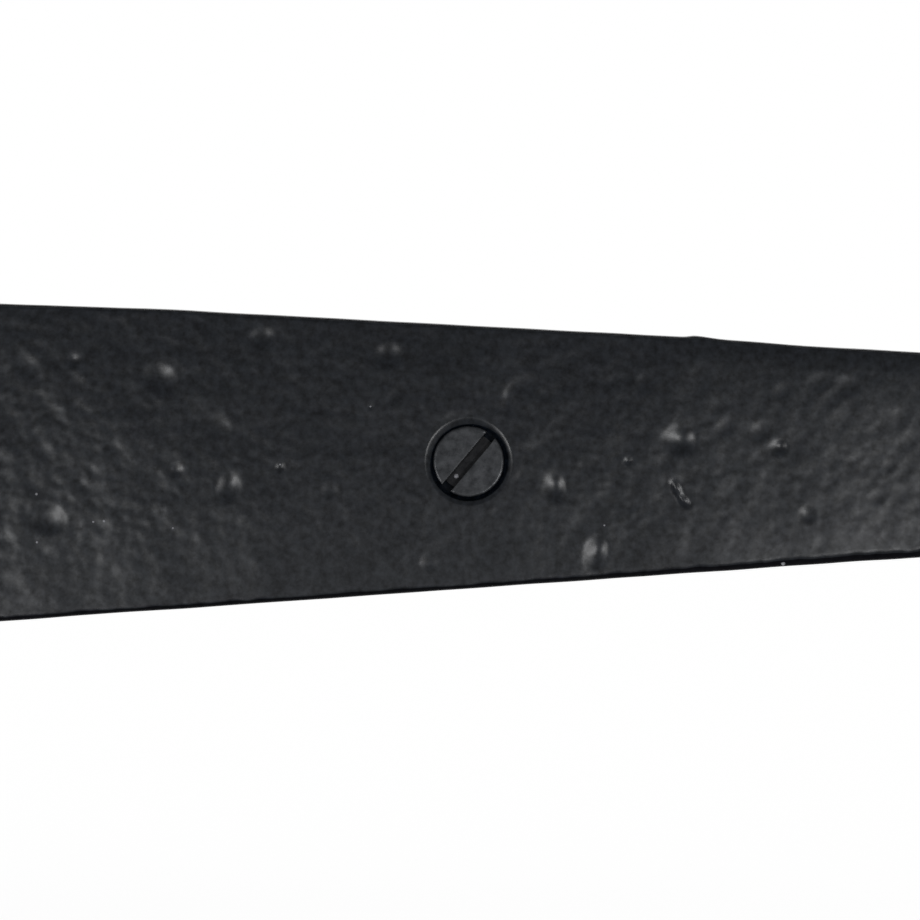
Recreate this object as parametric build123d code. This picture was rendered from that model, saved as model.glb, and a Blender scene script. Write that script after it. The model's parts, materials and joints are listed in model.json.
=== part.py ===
from build123d import *
import os
from math import acos, atan2, cos, hypot, radians, sin, sqrt

# Cast tee hinge: a long tapered strap leaf and an upright plate leaf on one riveted pin.
# Millimetres. The origin is the middle of the plate's back face, on the wall.
# +X runs along the strap, +Y goes into the wall and +Z goes up, along the pin.

# Both leaves
LEAF_THICKNESS = 3.5
EDGE_ROUND = 1.0  # radius of the front edges
DRAFT_ANGLE = 4.0  # degrees by which the side walls lean in towards the front
LEAF_CLEARANCE = 1.0  # between a leaf's inner edge and the other leaf's knuckle

# Strap leaf
STRAP_REACH = 300.0  # from the pin's axis to the tip
STRAP_ROOT_WIDTH = 52.2
STRAP_TIP_WIDTH = 17.3  # diameter of the round end

# Plate leaf
PLATE_WIDTH = 38.0
PLATE_HEIGHT = 130.0
PLATE_CORNER = 4.0

# Barrel of three knuckles
BARREL_RADIUS = 6.5
STRAP_KNUCKLE_LENGTH = 17.0
PLATE_KNUCKLE_LENGTH = 17.0
KNUCKLE_GAP = 0.4  # end play on each side of the strap's knuckle
KNUCKLE_CHAMFER = 0.5  # on a knuckle's end edges
ROOT_FILLET = 3.0  # where the barrel runs into the front of a leaf

# Pin, riveted over at both ends
PIN_RADIUS = 3.2
PIN_CLEARANCE = 0.05  # radial, in every knuckle
RIVET_RADIUS = 4.8
RIVET_HEIGHT = 2.0
RIVET_RIM = 0.6  # height of the rivet's straight rim
RIVET_CROWN_RADIUS = 2.6  # of its flat crown, above a sloped flank

# Countersunk holes, with seats at 45 degrees
SEAT_RADIUS = 5.75  # at the leaf's front face
HOLE_RADIUS = 2.75
STRAP_HOLE_FIRST = 40.0  # from the pin's axis
STRAP_HOLE_PITCH = 110.0
STRAP_HOLE_DROP = 0.6  # the strap's row of holes lies this far below its middle line
PLATE_HOLE_SPREAD_X = 18.0
PLATE_HOLE_SPREAD_Z = 104.0

# Slotted wood screws, number 10 by 32 mm
SCREW_LENGTH = 32.0
HEAD_RADIUS = 4.65
HEAD_LAND = 0.3  # straight rim above the head's cone
SEAT_CLEARANCE = 0.05  # between the head's cone and its seat, along the screw
SLOT_WIDTH = 1.4
SLOT_DEPTH = 1.3
SHANK_RADIUS = 2.4
SHANK_LENGTH = 11.0  # from the top of the head to where the thread starts
NECK_FLARE = 0.2  # by which the neck under the head is wider than the shank
NECK_LENGTH = 0.5
CORE_RADIUS = 1.75  # inside the thread
POINT_LENGTH = 6.0
STRAP_SLOT_ANGLES = (-18.0, 49.5, 76.0)  # degrees from +X, from the pin to the tip
PLATE_SLOT_ANGLES = (12.0, -38.0, 63.0, 104.0)

# Places that follow from the sizes
LEAF_SETBACK = BARREL_RADIUS + LEAF_CLEARANCE  # from the pin's axis to each leaf's inner edge
PIN_X = PLATE_WIDTH / 2 + LEAF_SETBACK
PIN_Y = -BARREL_RADIUS  # the barrel touches the wall plane
BORE_RADIUS = PIN_RADIUS + PIN_CLEARANCE
PLATE_KNUCKLE_START = STRAP_KNUCKLE_LENGTH / 2 + KNUCKLE_GAP
BARREL_END = PLATE_KNUCKLE_START + PLATE_KNUCKLE_LENGTH
ROOT_REACH = LEAF_SETBACK + ROOT_FILLET + 2 * EDGE_ROUND  # how far a knuckle's root runs into its leaf
HEAD_TOP = SEAT_RADIUS - HEAD_RADIUS - HEAD_LAND - SEAT_CLEARANCE  # depth below the front face
CUT_MARGIN = 1.0  # by which a cutter passes the faces that it cuts


def drafted_plate(outline):
    """A flat leaf from its outline on the wall plane, with drafted walls and rounded front edges."""
    leaf = extrude(Plane.XZ * outline, LEAF_THICKNESS, taper=DRAFT_ANGLE)
    front = leaf.faces().sort_by(Axis.Y)[0]
    return fillet(front.edges(), EDGE_ROUND)


def strap_outline():
    """A straight shoulder and a round tip, joined by straight sides tangent to the tip."""
    tip_radius = STRAP_TIP_WIDTH / 2
    tip_x = PIN_X + STRAP_REACH
    shoulder_x = PIN_X + LEAF_SETBACK
    half_root = STRAP_ROOT_WIDTH / 2
    length = tip_x - tip_radius - shoulder_x
    side_angle = acos(tip_radius / hypot(length, half_root)) + atan2(half_root, length)
    tangent_x = tip_x - tip_radius - tip_radius * cos(side_angle)
    tangent_z = tip_radius * sin(side_angle)
    return make_face(
        [
            Line((shoulder_x, -half_root), (shoulder_x, half_root)),
            Line((shoulder_x, half_root), (tangent_x, tangent_z)),
            ThreePointArc((tangent_x, tangent_z), (tip_x, 0), (tangent_x, -tangent_z)),
            Line((tangent_x, -tangent_z), (shoulder_x, -half_root)),
        ]
    )


def plate_outline():
    """An upright rectangle with rounded corners."""
    return RectangleRounded(PLATE_WIDTH, PLATE_HEIGHT, PLATE_CORNER)


def knuckle(bottom, length, side):
    """A barrel length and the root that carries it, drawn in plan and extruded up the pin.

    side is +1 where the root runs towards +X and -1 where it runs towards -X. The plan is
    drawn from the pin's axis: u along the root, v out of the wall.
    """

    def plan(u, v):
        return (PIN_X + side * u, PIN_Y - v)

    front_v = LEAF_THICKNESS - BARREL_RADIUS
    fillet_v = front_v + ROOT_FILLET
    fillet_u = sqrt((BARREL_RADIUS + ROOT_FILLET) ** 2 - fillet_v**2)
    share = BARREL_RADIUS / (BARREL_RADIUS + ROOT_FILLET)
    back_tangent = plan(0, -BARREL_RADIUS)
    root_back = plan(ROOT_REACH, -BARREL_RADIUS)
    root_front = plan(ROOT_REACH, front_v)
    fillet_start = plan(fillet_u, front_v)
    fillet_end = plan(share * fillet_u, share * fillet_v)
    towards_barrel = (-side, 0)
    edges = [
        Line(back_tangent, root_back),
        Line(root_back, root_front),
        Line(root_front, fillet_start),
        TangentArc(fillet_start, fillet_end, tangent=towards_barrel),
        TangentArc(back_tangent, fillet_end, tangent=towards_barrel),
    ]
    body = extrude(Pos(0, 0, bottom) * make_face(edges), length, dir=(0, 0, 1))
    ends = body.edges().group_by(Axis.Z)
    return chamfer(ends[0] + ends[-1], KNUCKLE_CHAMFER)


def bore():
    """The pin's hole, through the whole barrel."""
    return Pos(PIN_X, PIN_Y, 0) * Cylinder(BORE_RADIUS, 2 * BARREL_END + 2 * CUT_MARGIN)


def hole_plane(x, z, slot_angle=0.0):
    """A plane on the leaves' front face, with its normal out of the wall and its x along the slot."""
    turn = radians(slot_angle)
    return Plane(origin=(x, -LEAF_THICKNESS, z), x_dir=(cos(turn), 0, sin(turn)), z_dir=(0, -1, 0))


def countersunk_hole():
    """The cutter for one screw hole: a through hole under a 45 degree seat."""
    through = Pos(0, 0, CUT_MARGIN) * Cylinder(
        HOLE_RADIUS, LEAF_THICKNESS + 2 * CUT_MARGIN, align=(Align.CENTER, Align.CENTER, Align.MAX)
    )
    seat_depth = SEAT_RADIUS - HOLE_RADIUS
    seat = Pos(0, 0, -seat_depth) * Cone(
        HOLE_RADIUS,
        SEAT_RADIUS + CUT_MARGIN,
        seat_depth + CUT_MARGIN,
        align=(Align.CENTER, Align.CENTER, Align.MIN),
    )
    return through + seat


def wood_screw():
    """A slotted screw, turned from its half profile, with the leaf's front face at z = 0."""
    cone_top = -HEAD_TOP - HEAD_LAND
    neck_radius = SHANK_RADIUS + NECK_FLARE
    neck_top = cone_top - (HEAD_RADIUS - neck_radius)
    thread_top = -HEAD_TOP - SHANK_LENGTH
    tip = -HEAD_TOP - SCREW_LENGTH
    half_profile = make_face(
        Polyline(
            (0, -HEAD_TOP),
            (HEAD_RADIUS, -HEAD_TOP),
            (HEAD_RADIUS, cone_top),
            (neck_radius, neck_top),
            (SHANK_RADIUS, neck_top - NECK_LENGTH),
            (SHANK_RADIUS, thread_top),
            (CORE_RADIUS, thread_top - (SHANK_RADIUS - CORE_RADIUS)),
            (CORE_RADIUS, tip + POINT_LENGTH),
            (0, tip),
            close=True,
        )
    )
    turned = revolve(Plane.XZ * half_profile, Axis.Z)
    slot = Pos(0, 0, -HEAD_TOP) * Box(
        2 * HEAD_RADIUS + 2 * CUT_MARGIN,
        SLOT_WIDTH,
        2 * SLOT_DEPTH,
    )
    return turned - slot


def hinge_pin():
    """A straight pin, hammered over to a low button at each end, turned from its half profile."""
    top = BARREL_END + RIVET_HEIGHT
    rim = BARREL_END + RIVET_RIM
    upper_half = [
        (PIN_RADIUS, BARREL_END),
        (RIVET_RADIUS, BARREL_END),
        (RIVET_RADIUS, rim),
        (RIVET_CROWN_RADIUS, top),
        (0, top),
    ]
    lower_half = [(r, -z) for r, z in reversed(upper_half)]
    half_profile = make_face(Polyline(*upper_half, *lower_half, close=True))
    return Pos(PIN_X, PIN_Y, 0) * revolve(Plane.XZ * half_profile, Axis.Z)


def strap_places():
    """The x and z of each strap screw, from the pin to the tip."""
    return [(PIN_X + STRAP_HOLE_FIRST + i * STRAP_HOLE_PITCH, -STRAP_HOLE_DROP) for i in range(3)]


def plate_places():
    """The x and z of each plate screw, at the corners of a rectangle."""
    half_x = PLATE_HOLE_SPREAD_X / 2
    half_z = PLATE_HOLE_SPREAD_Z / 2
    return [(sx * half_x, sz * half_z) for sz in (1, -1) for sx in (-1, 1)]


def with_holes(leaf, places):
    """The leaf with its pin bore and one countersunk hole at each place."""
    leaf -= bore()
    for x, z in places:
        leaf -= hole_plane(x, z) * countersunk_hole()
    return leaf


def screw_set(places, slot_angles):
    """One screw in each hole, each left with its slot at its own angle."""
    screw = wood_screw()
    return Compound([hole_plane(x, z, turn) * screw for (x, z), turn in zip(places, slot_angles)])


strap_leaf = with_holes(
    drafted_plate(strap_outline()) + knuckle(-STRAP_KNUCKLE_LENGTH / 2, STRAP_KNUCKLE_LENGTH, 1),
    strap_places(),
)
plate_leaf = with_holes(
    drafted_plate(plate_outline())
    + knuckle(PLATE_KNUCKLE_START, PLATE_KNUCKLE_LENGTH, -1)
    + knuckle(-BARREL_END, PLATE_KNUCKLE_LENGTH, -1),
    plate_places(),
)
nodes = {
    "strap_leaf": strap_leaf,
    "plate_leaf": plate_leaf,
    "hinge_pin": hinge_pin(),
    "strap_screws": screw_set(strap_places(), STRAP_SLOT_ANGLES),
    "plate_screws": screw_set(plate_places(), PLATE_SLOT_ANGLES),
}

os.makedirs("parts", exist_ok=True)
for name, shape in nodes.items():
    export_step(shape, f"parts/{name}.step")
    size = shape.bounding_box().size
    print(f"{name}: {len(shape.solids())} solids, {size.X:.1f} x {size.Y:.1f} x {size.Z:.1f} mm")
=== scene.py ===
# %% [markdown]
# # A black cast tee hinge
# The frame brings the hinge as plain solids: a long strap leaf, an upright plate leaf, the pin that
# joins them and seven wood screws. This lesson dresses each of them as the real thing looks: sand-cast
# iron under satin black paint, with the dents and wavy edges that casting leaves. The solids could
# just be painted, but a casting's light comes from its uneven skin, so each piece is modelled again over
# its solid. Everything is in metres, in the frame's own axes: +X along the strap, +Y into the wall, +Z up
# along the pin.

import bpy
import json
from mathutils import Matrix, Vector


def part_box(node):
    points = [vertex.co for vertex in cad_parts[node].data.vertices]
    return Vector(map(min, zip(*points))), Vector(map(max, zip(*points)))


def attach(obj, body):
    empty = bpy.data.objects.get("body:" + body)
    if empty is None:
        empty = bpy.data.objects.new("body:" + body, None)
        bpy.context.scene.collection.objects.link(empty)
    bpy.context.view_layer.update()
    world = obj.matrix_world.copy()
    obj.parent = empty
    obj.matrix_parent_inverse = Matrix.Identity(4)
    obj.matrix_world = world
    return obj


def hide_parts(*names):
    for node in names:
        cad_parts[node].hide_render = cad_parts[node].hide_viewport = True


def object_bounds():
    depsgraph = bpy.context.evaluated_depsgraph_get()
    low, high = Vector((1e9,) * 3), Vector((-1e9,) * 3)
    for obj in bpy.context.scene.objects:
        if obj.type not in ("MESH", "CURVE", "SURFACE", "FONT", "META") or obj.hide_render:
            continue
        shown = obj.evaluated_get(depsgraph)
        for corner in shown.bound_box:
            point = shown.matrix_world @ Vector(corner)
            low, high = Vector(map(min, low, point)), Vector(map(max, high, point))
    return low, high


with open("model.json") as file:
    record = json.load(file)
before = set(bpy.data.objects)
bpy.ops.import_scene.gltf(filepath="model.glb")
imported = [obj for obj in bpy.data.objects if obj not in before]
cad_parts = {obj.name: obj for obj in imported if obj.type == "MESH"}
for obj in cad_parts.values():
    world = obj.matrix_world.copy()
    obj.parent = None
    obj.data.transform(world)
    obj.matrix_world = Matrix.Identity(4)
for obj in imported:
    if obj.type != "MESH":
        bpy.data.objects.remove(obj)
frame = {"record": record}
cad_low, cad_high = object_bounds()
print("solids reach from", [round(v, 4) for v in cad_low], "to", [round(v, 4) for v in cad_high])

# %% [markdown]
# Three more tools do the work: numpy works out the surfaces, bmesh joins them into closed skins, and
# mathutils holds the few single vectors.

# %% Other tools of this lesson
import json
from math import acos, atan2, cos, hypot, pi, radians, sin

import bmesh
import bpy
import numpy as np
from mathutils import Matrix, Vector
from mathutils.geometry import tessellate_polygon

# %% [markdown]
# ## Sizes
# The frame gives most places: the joint gives the pin, the boxes give the outlines, and the mounts give
# the screws. What a box can't tell, such as how thick a leaf is, is written here once.

# %% Sizes from the frame
MM = 0.001
record = frame["record"]
mounts = {mount["name"]: mount for mount in record["mounts"]}
pin_x, pin_y, _ = record["behaviour"]["joints"][0]["pos_m"]
_, strap_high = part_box("strap_leaf")
plate_low, plate_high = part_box("plate_leaf")
_, pin_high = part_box("hinge_pin")
barrel_radius = -pin_y
leaf_setback = pin_x + plate_low.x  # from the pin's axis to each leaf's inner edge
strap_shoulder = pin_x + leaf_setback
print(f"pin at x {pin_x / MM:.1f} mm, barrel radius {barrel_radius / MM:.1f} mm")

# %% Sizes of the castings
LEAF_THICKNESS = 3.5 * MM
EDGE_ROUND = 1.0 * MM
DRAFT_ANGLE = radians(4.0)
STRAP_TIP_RADIUS = 8.65 * MM
STRAP_KNUCKLE = 17.0 * MM
KNUCKLE_GAP = 0.4 * MM
KNUCKLE_ROUND = 0.5 * MM
RIVET_HEIGHT = 2.0 * MM
BORE_RADIUS = 3.25 * MM
SEAT_RADIUS = 5.75 * MM
HOLE_RADIUS = 2.75 * MM
root_fillet = barrel_radius - LEAF_THICKNESS  # its centre is level with the pin
barrel_end = pin_high.z - RIVET_HEIGHT
strap_knuckles = [(-STRAP_KNUCKLE / 2, STRAP_KNUCKLE / 2)]
plate_knuckle_start = STRAP_KNUCKLE / 2 + KNUCKLE_GAP
plate_knuckles = [(-barrel_end, -plate_knuckle_start), (plate_knuckle_start, barrel_end)]
print(f"leaves {LEAF_THICKNESS / MM:.1f} mm thick, root fillets {root_fillet / MM:.1f} mm")

# %% Places of the screws


def bolt_places(name):
    """The x and z of a mount's bolts: its middle, half its spacings to each side."""
    mount = mounts[name]
    middle_x, _, middle_z = mount["pos_m"]
    half_x = mount["dims"].get("spacing_x_mm", 0.0) / 2 * MM
    half_z = mount["dims"].get("spacing_y_mm", 0.0) / 2 * MM
    heights = [half_z, -half_z] if half_z else [0.0]
    return [(middle_x + side * half_x, middle_z + rise) for rise in heights for side in (-1, 1)]


middle_screw = mounts["strap_middle_screw_shank"]["pos_m"]
first_place, last_place = bolt_places("strap_end_screw_shanks")
strap_places = [first_place, (middle_screw[0], middle_screw[2]), last_place]
plate_places = bolt_places("plate_screw_shanks")
print("strap screws at x", [round(x / MM, 1) for x, _ in strap_places], "mm")

# %% [markdown]
# ## The photographed stretch
# The photo is a square of about 120 mm round the middle screw. The castings get their finest mesh
# there, and the dents on it are placed one by one, in millimetres from that screw. One even mesh would
# be simpler, but it would spend most of its triangles where nobody looks closely.

# %% Frame of the photo
PHOTO_WIDTH = 120.4 * MM
PHOTO_CENTRE = (-1.13 * MM, 0.19 * MM)  # from the middle screw, along and across the picture
PHOTO_ROLL = radians(0.47)  # the strap rises to the right by this much
screw_x, screw_z = strap_places[1]
photo_start = screw_x - PHOTO_WIDTH / 2
photo_stop = screw_x + PHOTO_WIDTH / 2
print(f"photo covers x {photo_start / MM:.0f} to {photo_stop / MM:.0f} mm")

# %% [markdown]
# ## Helpers for surfaces
# Every piece here is made of grids: a surface is a function of two parameters, worked out for a whole
# array at once. A block is such a grid with its quads. Blocks that share an edge share its points to
# the last digit, so merging doubles joins them into one closed skin. Booleans and bevels could give like
# forms, but a grid puts every point where the form needs it and leaves no slivers.

# %% Blocks and pieces
MERGE_DISTANCE = 0.002 * MM
CREASE_ANGLE = radians(38.0)


def grid_block(points, keep=None):
    """Quads between neighbouring rows and columns of a grid of points, but for the cells not kept."""
    rows, columns = points.shape[:2]
    number = np.arange(rows * columns).reshape(rows, columns)
    quads = np.stack([number[:-1, :-1], number[1:, :-1], number[1:, 1:], number[:-1, 1:]], axis=-1)
    quads = quads.reshape(-1, 4) if keep is None else quads[keep]
    return points.reshape(-1, 3), quads


def ring_block(points, keep=None):
    """A grid whose last column joins its first."""
    return grid_block(np.concatenate([points, points[:, :1]], axis=1), keep)


def flat_block(outer, holes, axes):
    """A flat face inside the outer loop and outside the holes, cut into triangles in the given axes."""
    loops = [outer, *holes]
    flat = [[Vector((*point, 0.0)) for point in loop[:, axes] / MM] for loop in loops]
    return np.concatenate(loops), np.array(tessellate_polygon(flat))


def make_piece(name, *finishes):
    """One object from its blocks: doubles merged, normals turned outwards, creases left sharp.

    Each finish is a list of blocks that wear the piece's next material.
    """
    finish = [number for number, part in enumerate(finishes) for _ in part]
    blocks = [block for part in finishes for block in part]
    points = np.concatenate([block_points for block_points, _ in blocks])
    starts = np.cumsum([0] + [len(block_points) for block_points, _ in blocks])
    faces = [face for (_, quads), start in zip(blocks, starts) for face in (quads + start).tolist()]
    mesh = bpy.data.meshes.new(name)
    mesh.from_pydata(points, [], faces)
    mesh.polygons.foreach_set("material_index", np.repeat(finish, [len(quads) for _, quads in blocks]))
    skin = bmesh.new()
    skin.from_mesh(mesh)
    bmesh.ops.remove_doubles(skin, verts=skin.verts, dist=MERGE_DISTANCE)
    bmesh.ops.dissolve_degenerate(skin, dist=MERGE_DISTANCE / 10, edges=skin.edges)
    loose = [point for point in skin.verts if not point.link_faces]
    bmesh.ops.delete(skin, geom=loose, context="VERTS")
    bmesh.ops.recalc_face_normals(skin, faces=skin.faces)
    open_edges = sum(not edge.is_manifold for edge in skin.edges)
    volume = skin.calc_volume(signed=True)
    holds = f"{open_edges} open edges" if open_edges else f"closed, {volume / MM**3:.0f} mm3"
    triangles = sum(len(face.verts) - 2 for face in skin.faces)
    skin.to_mesh(mesh)
    skin.free()
    mesh.shade_smooth()
    mesh.set_sharp_from_angle(angle=CREASE_ANGLE)
    piece = bpy.data.objects.new(name, mesh)
    bpy.context.collection.objects.link(piece)
    print(f"{name}: {triangles} triangles, {holds}")
    return piece


# %% [markdown]
# ## Uneven surfaces
# Sand-cast iron is never flat. Gradient noise gives the slow swell of the face and its small scales:
# every corner of a lattice holds a random slope, and each point blends the four slopes round it. A
# Displace modifier has such noise too, but here the height at any point can be asked for, so that a rim
# or a grain of grit sits right on it. The seeds are fixed, so every run casts the same hinge.

# %% Noise and smooth steps
LATTICE = 64
SEEDS = {
    "root dents": 11,
    "tip dents": 12,
    "plate dents": 13,
    "strap": 21,
    "plate": 22,
    "strap outline": 31,
    "strap edge": 32,
    "plate outline": 41,
    "upper rivet": 51,
    "lower rivet": 52,
    "knuckles": 61,
}


def smooth_step(value, start, stop):
    """0 before start and 1 after stop, with 3t^2 - 2t^3 between."""
    share = np.clip((value - start) / (stop - start), 0, 1)
    return share * share * (3 - 2 * share)


def mix(start, stop, share):
    """A share of the way from start to stop."""
    return start + (stop - start) * share


def swell(x, z, cell, seed):
    """Gradient noise: in each lattice cell, the slopes at its four corners times the way from them.

    The four are blended with the weights 6t^5 - 15t^4 + 10t^3.
    """
    turn = np.random.default_rng(seed).uniform(0, 2 * pi, (LATTICE, LATTICE))
    a = x / cell
    b = z / cell
    column = np.floor(a).astype(int)
    row = np.floor(b).astype(int)
    s = a - column
    t = b - row

    def pull(right, up):
        corner = turn[(column + right) % LATTICE, (row + up) % LATTICE]
        return np.cos(corner) * (s - right) + np.sin(corner) * (t - up)

    weight_s = s**3 * (s * (6 * s - 15) + 10)
    weight_t = t**3 * (t * (6 * t - 15) + 10)
    low = pull(0, 0) * (1 - weight_s) + pull(1, 0) * weight_s
    high = pull(0, 1) * (1 - weight_s) + pull(1, 1) * weight_s
    return low * (1 - weight_t) + high * weight_t


def drawn_swell(x, z, cell, stretch, turn, seed):
    """Gradient noise drawn out by stretch along a direction turned from +X."""
    along = x * cos(turn) + z * sin(turn)
    across = z * cos(turn) - x * sin(turn)
    return swell(along / stretch, across, cell, seed)


print(len(SEEDS), "seeds")

# %% [markdown]
# ## Dents
# Gas and loose sand leave round hollows in a casting, and paint softens their rims. Bump could paint
# them, but true hollows also show from the side and stay in the exported mesh. Each is a cap on an oval:
# its slope grows evenly up to the rim, so a lamp lights one clean lobe on either side. A small core in a
# hollow makes its right side steeper, where the photo has a second lobe. They are placed one by one, each
# with its own size, turn and depth.

# %% Dents in the photo
DENT_RIM = 0.22  # share of a dent that its rounded rim takes


def dent_shape(x, z, dent):
    """A hollow of depth one on an oval: s ln(1 + exp((1 - q) / s)), a cap 1 - q with a soft rim.

    q is the squared distance from the middle in the oval's half axes, and s is the rim's share.
    """
    middle_x, middle_z, half_length, half_width, turn, _ = dent
    along = (x - middle_x) * cos(turn) + (z - middle_z) * sin(turn)
    across = (z - middle_z) * cos(turn) - (x - middle_x) * sin(turn)
    oval = (along / half_length) ** 2 + (across / half_width) ** 2
    return DENT_RIM * np.log1p(np.exp((1 - oval) / DENT_RIM))


def photo_dent(along, up, half_length, half_width, turn, depth):
    """A dent in millimetres from the middle screw, turned in degrees from +X."""
    return (
        screw_x + along * MM,
        screw_z + up * MM,
        half_length * MM,
        half_width * MM,
        radians(turn),
        depth * MM,
    )


photo_dents = {
    "left_large": photo_dent(-55.1, -7.1, 2.42, 2.01, -10, 0.231),
    "left_upper": photo_dent(-57.8, 12.8, 1.72, 1.49, -35, 0.102),
    "left_small": photo_dent(-51.7, 13.6, 0.92, 0.86, -30, 0.136),
    "left_middle": photo_dent(-55.6, 1.7, 1.38, 1.15, -45, 0.082),
    "upper_left": photo_dent(-40.4, 11.2, 2.42, 1.95, -38, 0.286),
    "upper_faint": photo_dent(-26.9, 16.4, 1.72, 1.38, 0, 0.184),
    "middle_left_faint": photo_dent(-33.0, 4.8, 2.18, 1.72, -45, 0.122),
    "middle_left_small": photo_dent(-38.3, -0.9, 0.92, 0.86, -50, 0.129),
    "left_twin": photo_dent(-31.5, -3.1, 2.1, 1.5, 80, 0.21),
    "above_left": photo_dent(-10.3, 14.0, 1.84, 1.61, 0, 0.245),
    "left_of_screw": photo_dent(-18.2, -3.7, 1.26, 1.15, 0, 0.095),
    "speck": photo_dent(-12.8, 7.3, 0.5, 0.45, 0, 0.08),
    "left_streak": photo_dent(-9.7, 8.6, 1.84, 0.8, 50, 0.068),
    "right_streak": photo_dent(5.3, 7.9, 2.07, 0.92, 85, 0.109),
    "above_right_faint": photo_dent(7.5, 10.1, 2.07, 1.26, 10, 0.102),
    "right_twin": photo_dent(11.2, -3.4, 2.0, 1.45, 95, 0.20),
    "right_twin_core": photo_dent(11.55, -3.4, 1.3, 0.95, 95, 0.065),
    "lower_twin": photo_dent(16.5, -12.2, 2.4, 1.5, 78, 0.17),
    "lower_twin_core": photo_dent(17.1, -11.6, 1.5, 1.0, 78, 0.08),
    "lower_faint": photo_dent(-5.3, -13.2, 1.26, 1.15, 0, 0.102),
    "right_wide": photo_dent(27.5, 2.5, 2.2, 2.0, -3, 0.22),
    "right_wide_core": photo_dent(28.2, 2.4, 1.5, 1.6, 0, 0.13),
    "right_wide_tail": photo_dent(25.9, 0.0, 2.07, 1.03, 45, 0.034),
    "right_faint": photo_dent(33.5, 4.1, 1.26, 1.15, 45, 0.082),
    "right_small_twin": photo_dent(40.6, 1.4, 1.3, 1.15, 0, 0.105),
    "right_small_core": photo_dent(40.9, 1.6, 0.75, 0.8, 0, 0.105),
    "right_small_faint": photo_dent(38.2, 3.6, 1.49, 1.26, 30, 0.075),
    "far_lower": photo_dent(44.3, -7.3, 1.09, 1.15, 45, 0.116),
    "far_upper": photo_dent(49.7, 9.5, 1.84, 1.49, -10, 0.088),
    "far_upper_left": photo_dent(46.0, 10.1, 1.84, 1.26, 15, 0.068),
    "far_upper_low": photo_dent(47.6, 7.9, 1.95, 1.15, 40, 0.041),
    "far_upper_small": photo_dent(41.2, 8.9, 1.38, 1.03, 35, 0.058),
    "far_middle": photo_dent(51.9, -1.2, 1.26, 0.92, 50, 0.027),
    "far_small": photo_dent(55.1, -0.9, 0.92, 0.8, 45, 0.027),
    "far_low_right": photo_dent(53.3, -5.2, 1.26, 0.92, 50, 0.027),
    "far_low_left": photo_dent(48.6, -6.0, 1.15, 0.92, 60, 0.02),
    "far_edge_right": photo_dent(46.0, -11.3, 1.26, 0.92, 55, 0.02),
    "far_edge_left": photo_dent(41.6, -12.6, 1.38, 0.69, 60, 0.017),
    "far_pit": photo_dent(39.9, -9.2, 0.69, 0.63, 0, 0.02),
    "end_upper": photo_dent(56.6, 5.3, 1.84, 1.26, 60, 0.044),
    "end_middle": photo_dent(57.8, 2.4, 1.61, 1.15, 45, 0.031),
    "right_upper_streak": photo_dent(30.2, 10.3, 2.53, 1.26, 75, 0.041),
    "upper_right_faint": photo_dent(23.1, 10.1, 1.72, 1.26, 60, 0.102),
    "pit_left": photo_dent(-24.7, -0.6, 0.65, 0.6, 45, 0.14),
    "slit_upper": photo_dent(27.2, -3.8, 1.3, 0.5, -62, 0.25),
    "slit_lower": photo_dent(28.1, -5.4, 1.1, 0.5, -50, 0.25),
    "pit_right": photo_dent(20.9, -0.1, 0.55, 0.5, 0, 0.12),
}
print(len(photo_dents), "dents placed by hand")

# %% [markdown]
# Beyond the photo's edges the same kind of dents is scattered at random, about as many for the area.
# Hand-placed ones would do as well, but nothing says where they lie.

# %% Dents where the photo doesn't reach
DENT_AREA = 170.0 * MM**2  # of face for each dent, as in the photo
DENT_LENGTHS = (0.7, 2.3)  # half lengths, in millimetres
DENT_WIDTHS = (0.5, 0.9)  # share of the length, as is the next
DENT_DEPTHS = (0.06, 0.155)
PHOTO_MARGIN = 4.0 * MM


def scattered_dents(low, high, seed):
    """Random dents inside a rectangle, as many, as wide and as deep as the photographed ones."""
    draw = np.random.default_rng(seed)
    (low_x, low_z), (high_x, high_z) = low, high
    count = int((high_x - low_x) * (high_z - low_z) / DENT_AREA)
    half_length = draw.uniform(*DENT_LENGTHS, count) * MM
    columns = [
        draw.uniform(low_x, high_x, count),
        draw.uniform(low_z, high_z, count),
        half_length,
        half_length * draw.uniform(*DENT_WIDTHS, count),
        draw.uniform(0, pi, count),
        half_length * draw.uniform(*DENT_DEPTHS, count),
    ]
    return list(zip(*columns))


half_root = strap_high.z
root_box = (strap_shoulder, -half_root), (photo_start - PHOTO_MARGIN, half_root)
tip_box = (photo_stop + PHOTO_MARGIN, -half_root / 2), (strap_high.x, half_root / 2)
plate_box = (plate_low.x, plate_low.z), (-plate_low.x, plate_high.z)
strap_dents = [
    *photo_dents.values(),
    *scattered_dents(*root_box, SEEDS["root dents"]),
    *scattered_dents(*tip_box, SEEDS["tip dents"]),
]
plate_dents = scattered_dents(*plate_box, SEEDS["plate dents"])
print(len(strap_dents), "dents on the strap,", len(plate_dents), "on the plate")

# %% [markdown]
# ## Relief of a leaf
# The height of a leaf's face over its flat plane: a slow swell, small scales on the wide part of the
# strap, streaks on its narrow part, and the dents. Paint pools in a dent, so it is smoother than the face
# round it. The height dies away at the holes' rims and beside the barrel, and there it rises instead into
# the fillet at a knuckle's root. One function holds all of it, so both leaves and all their rims agree.

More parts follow.
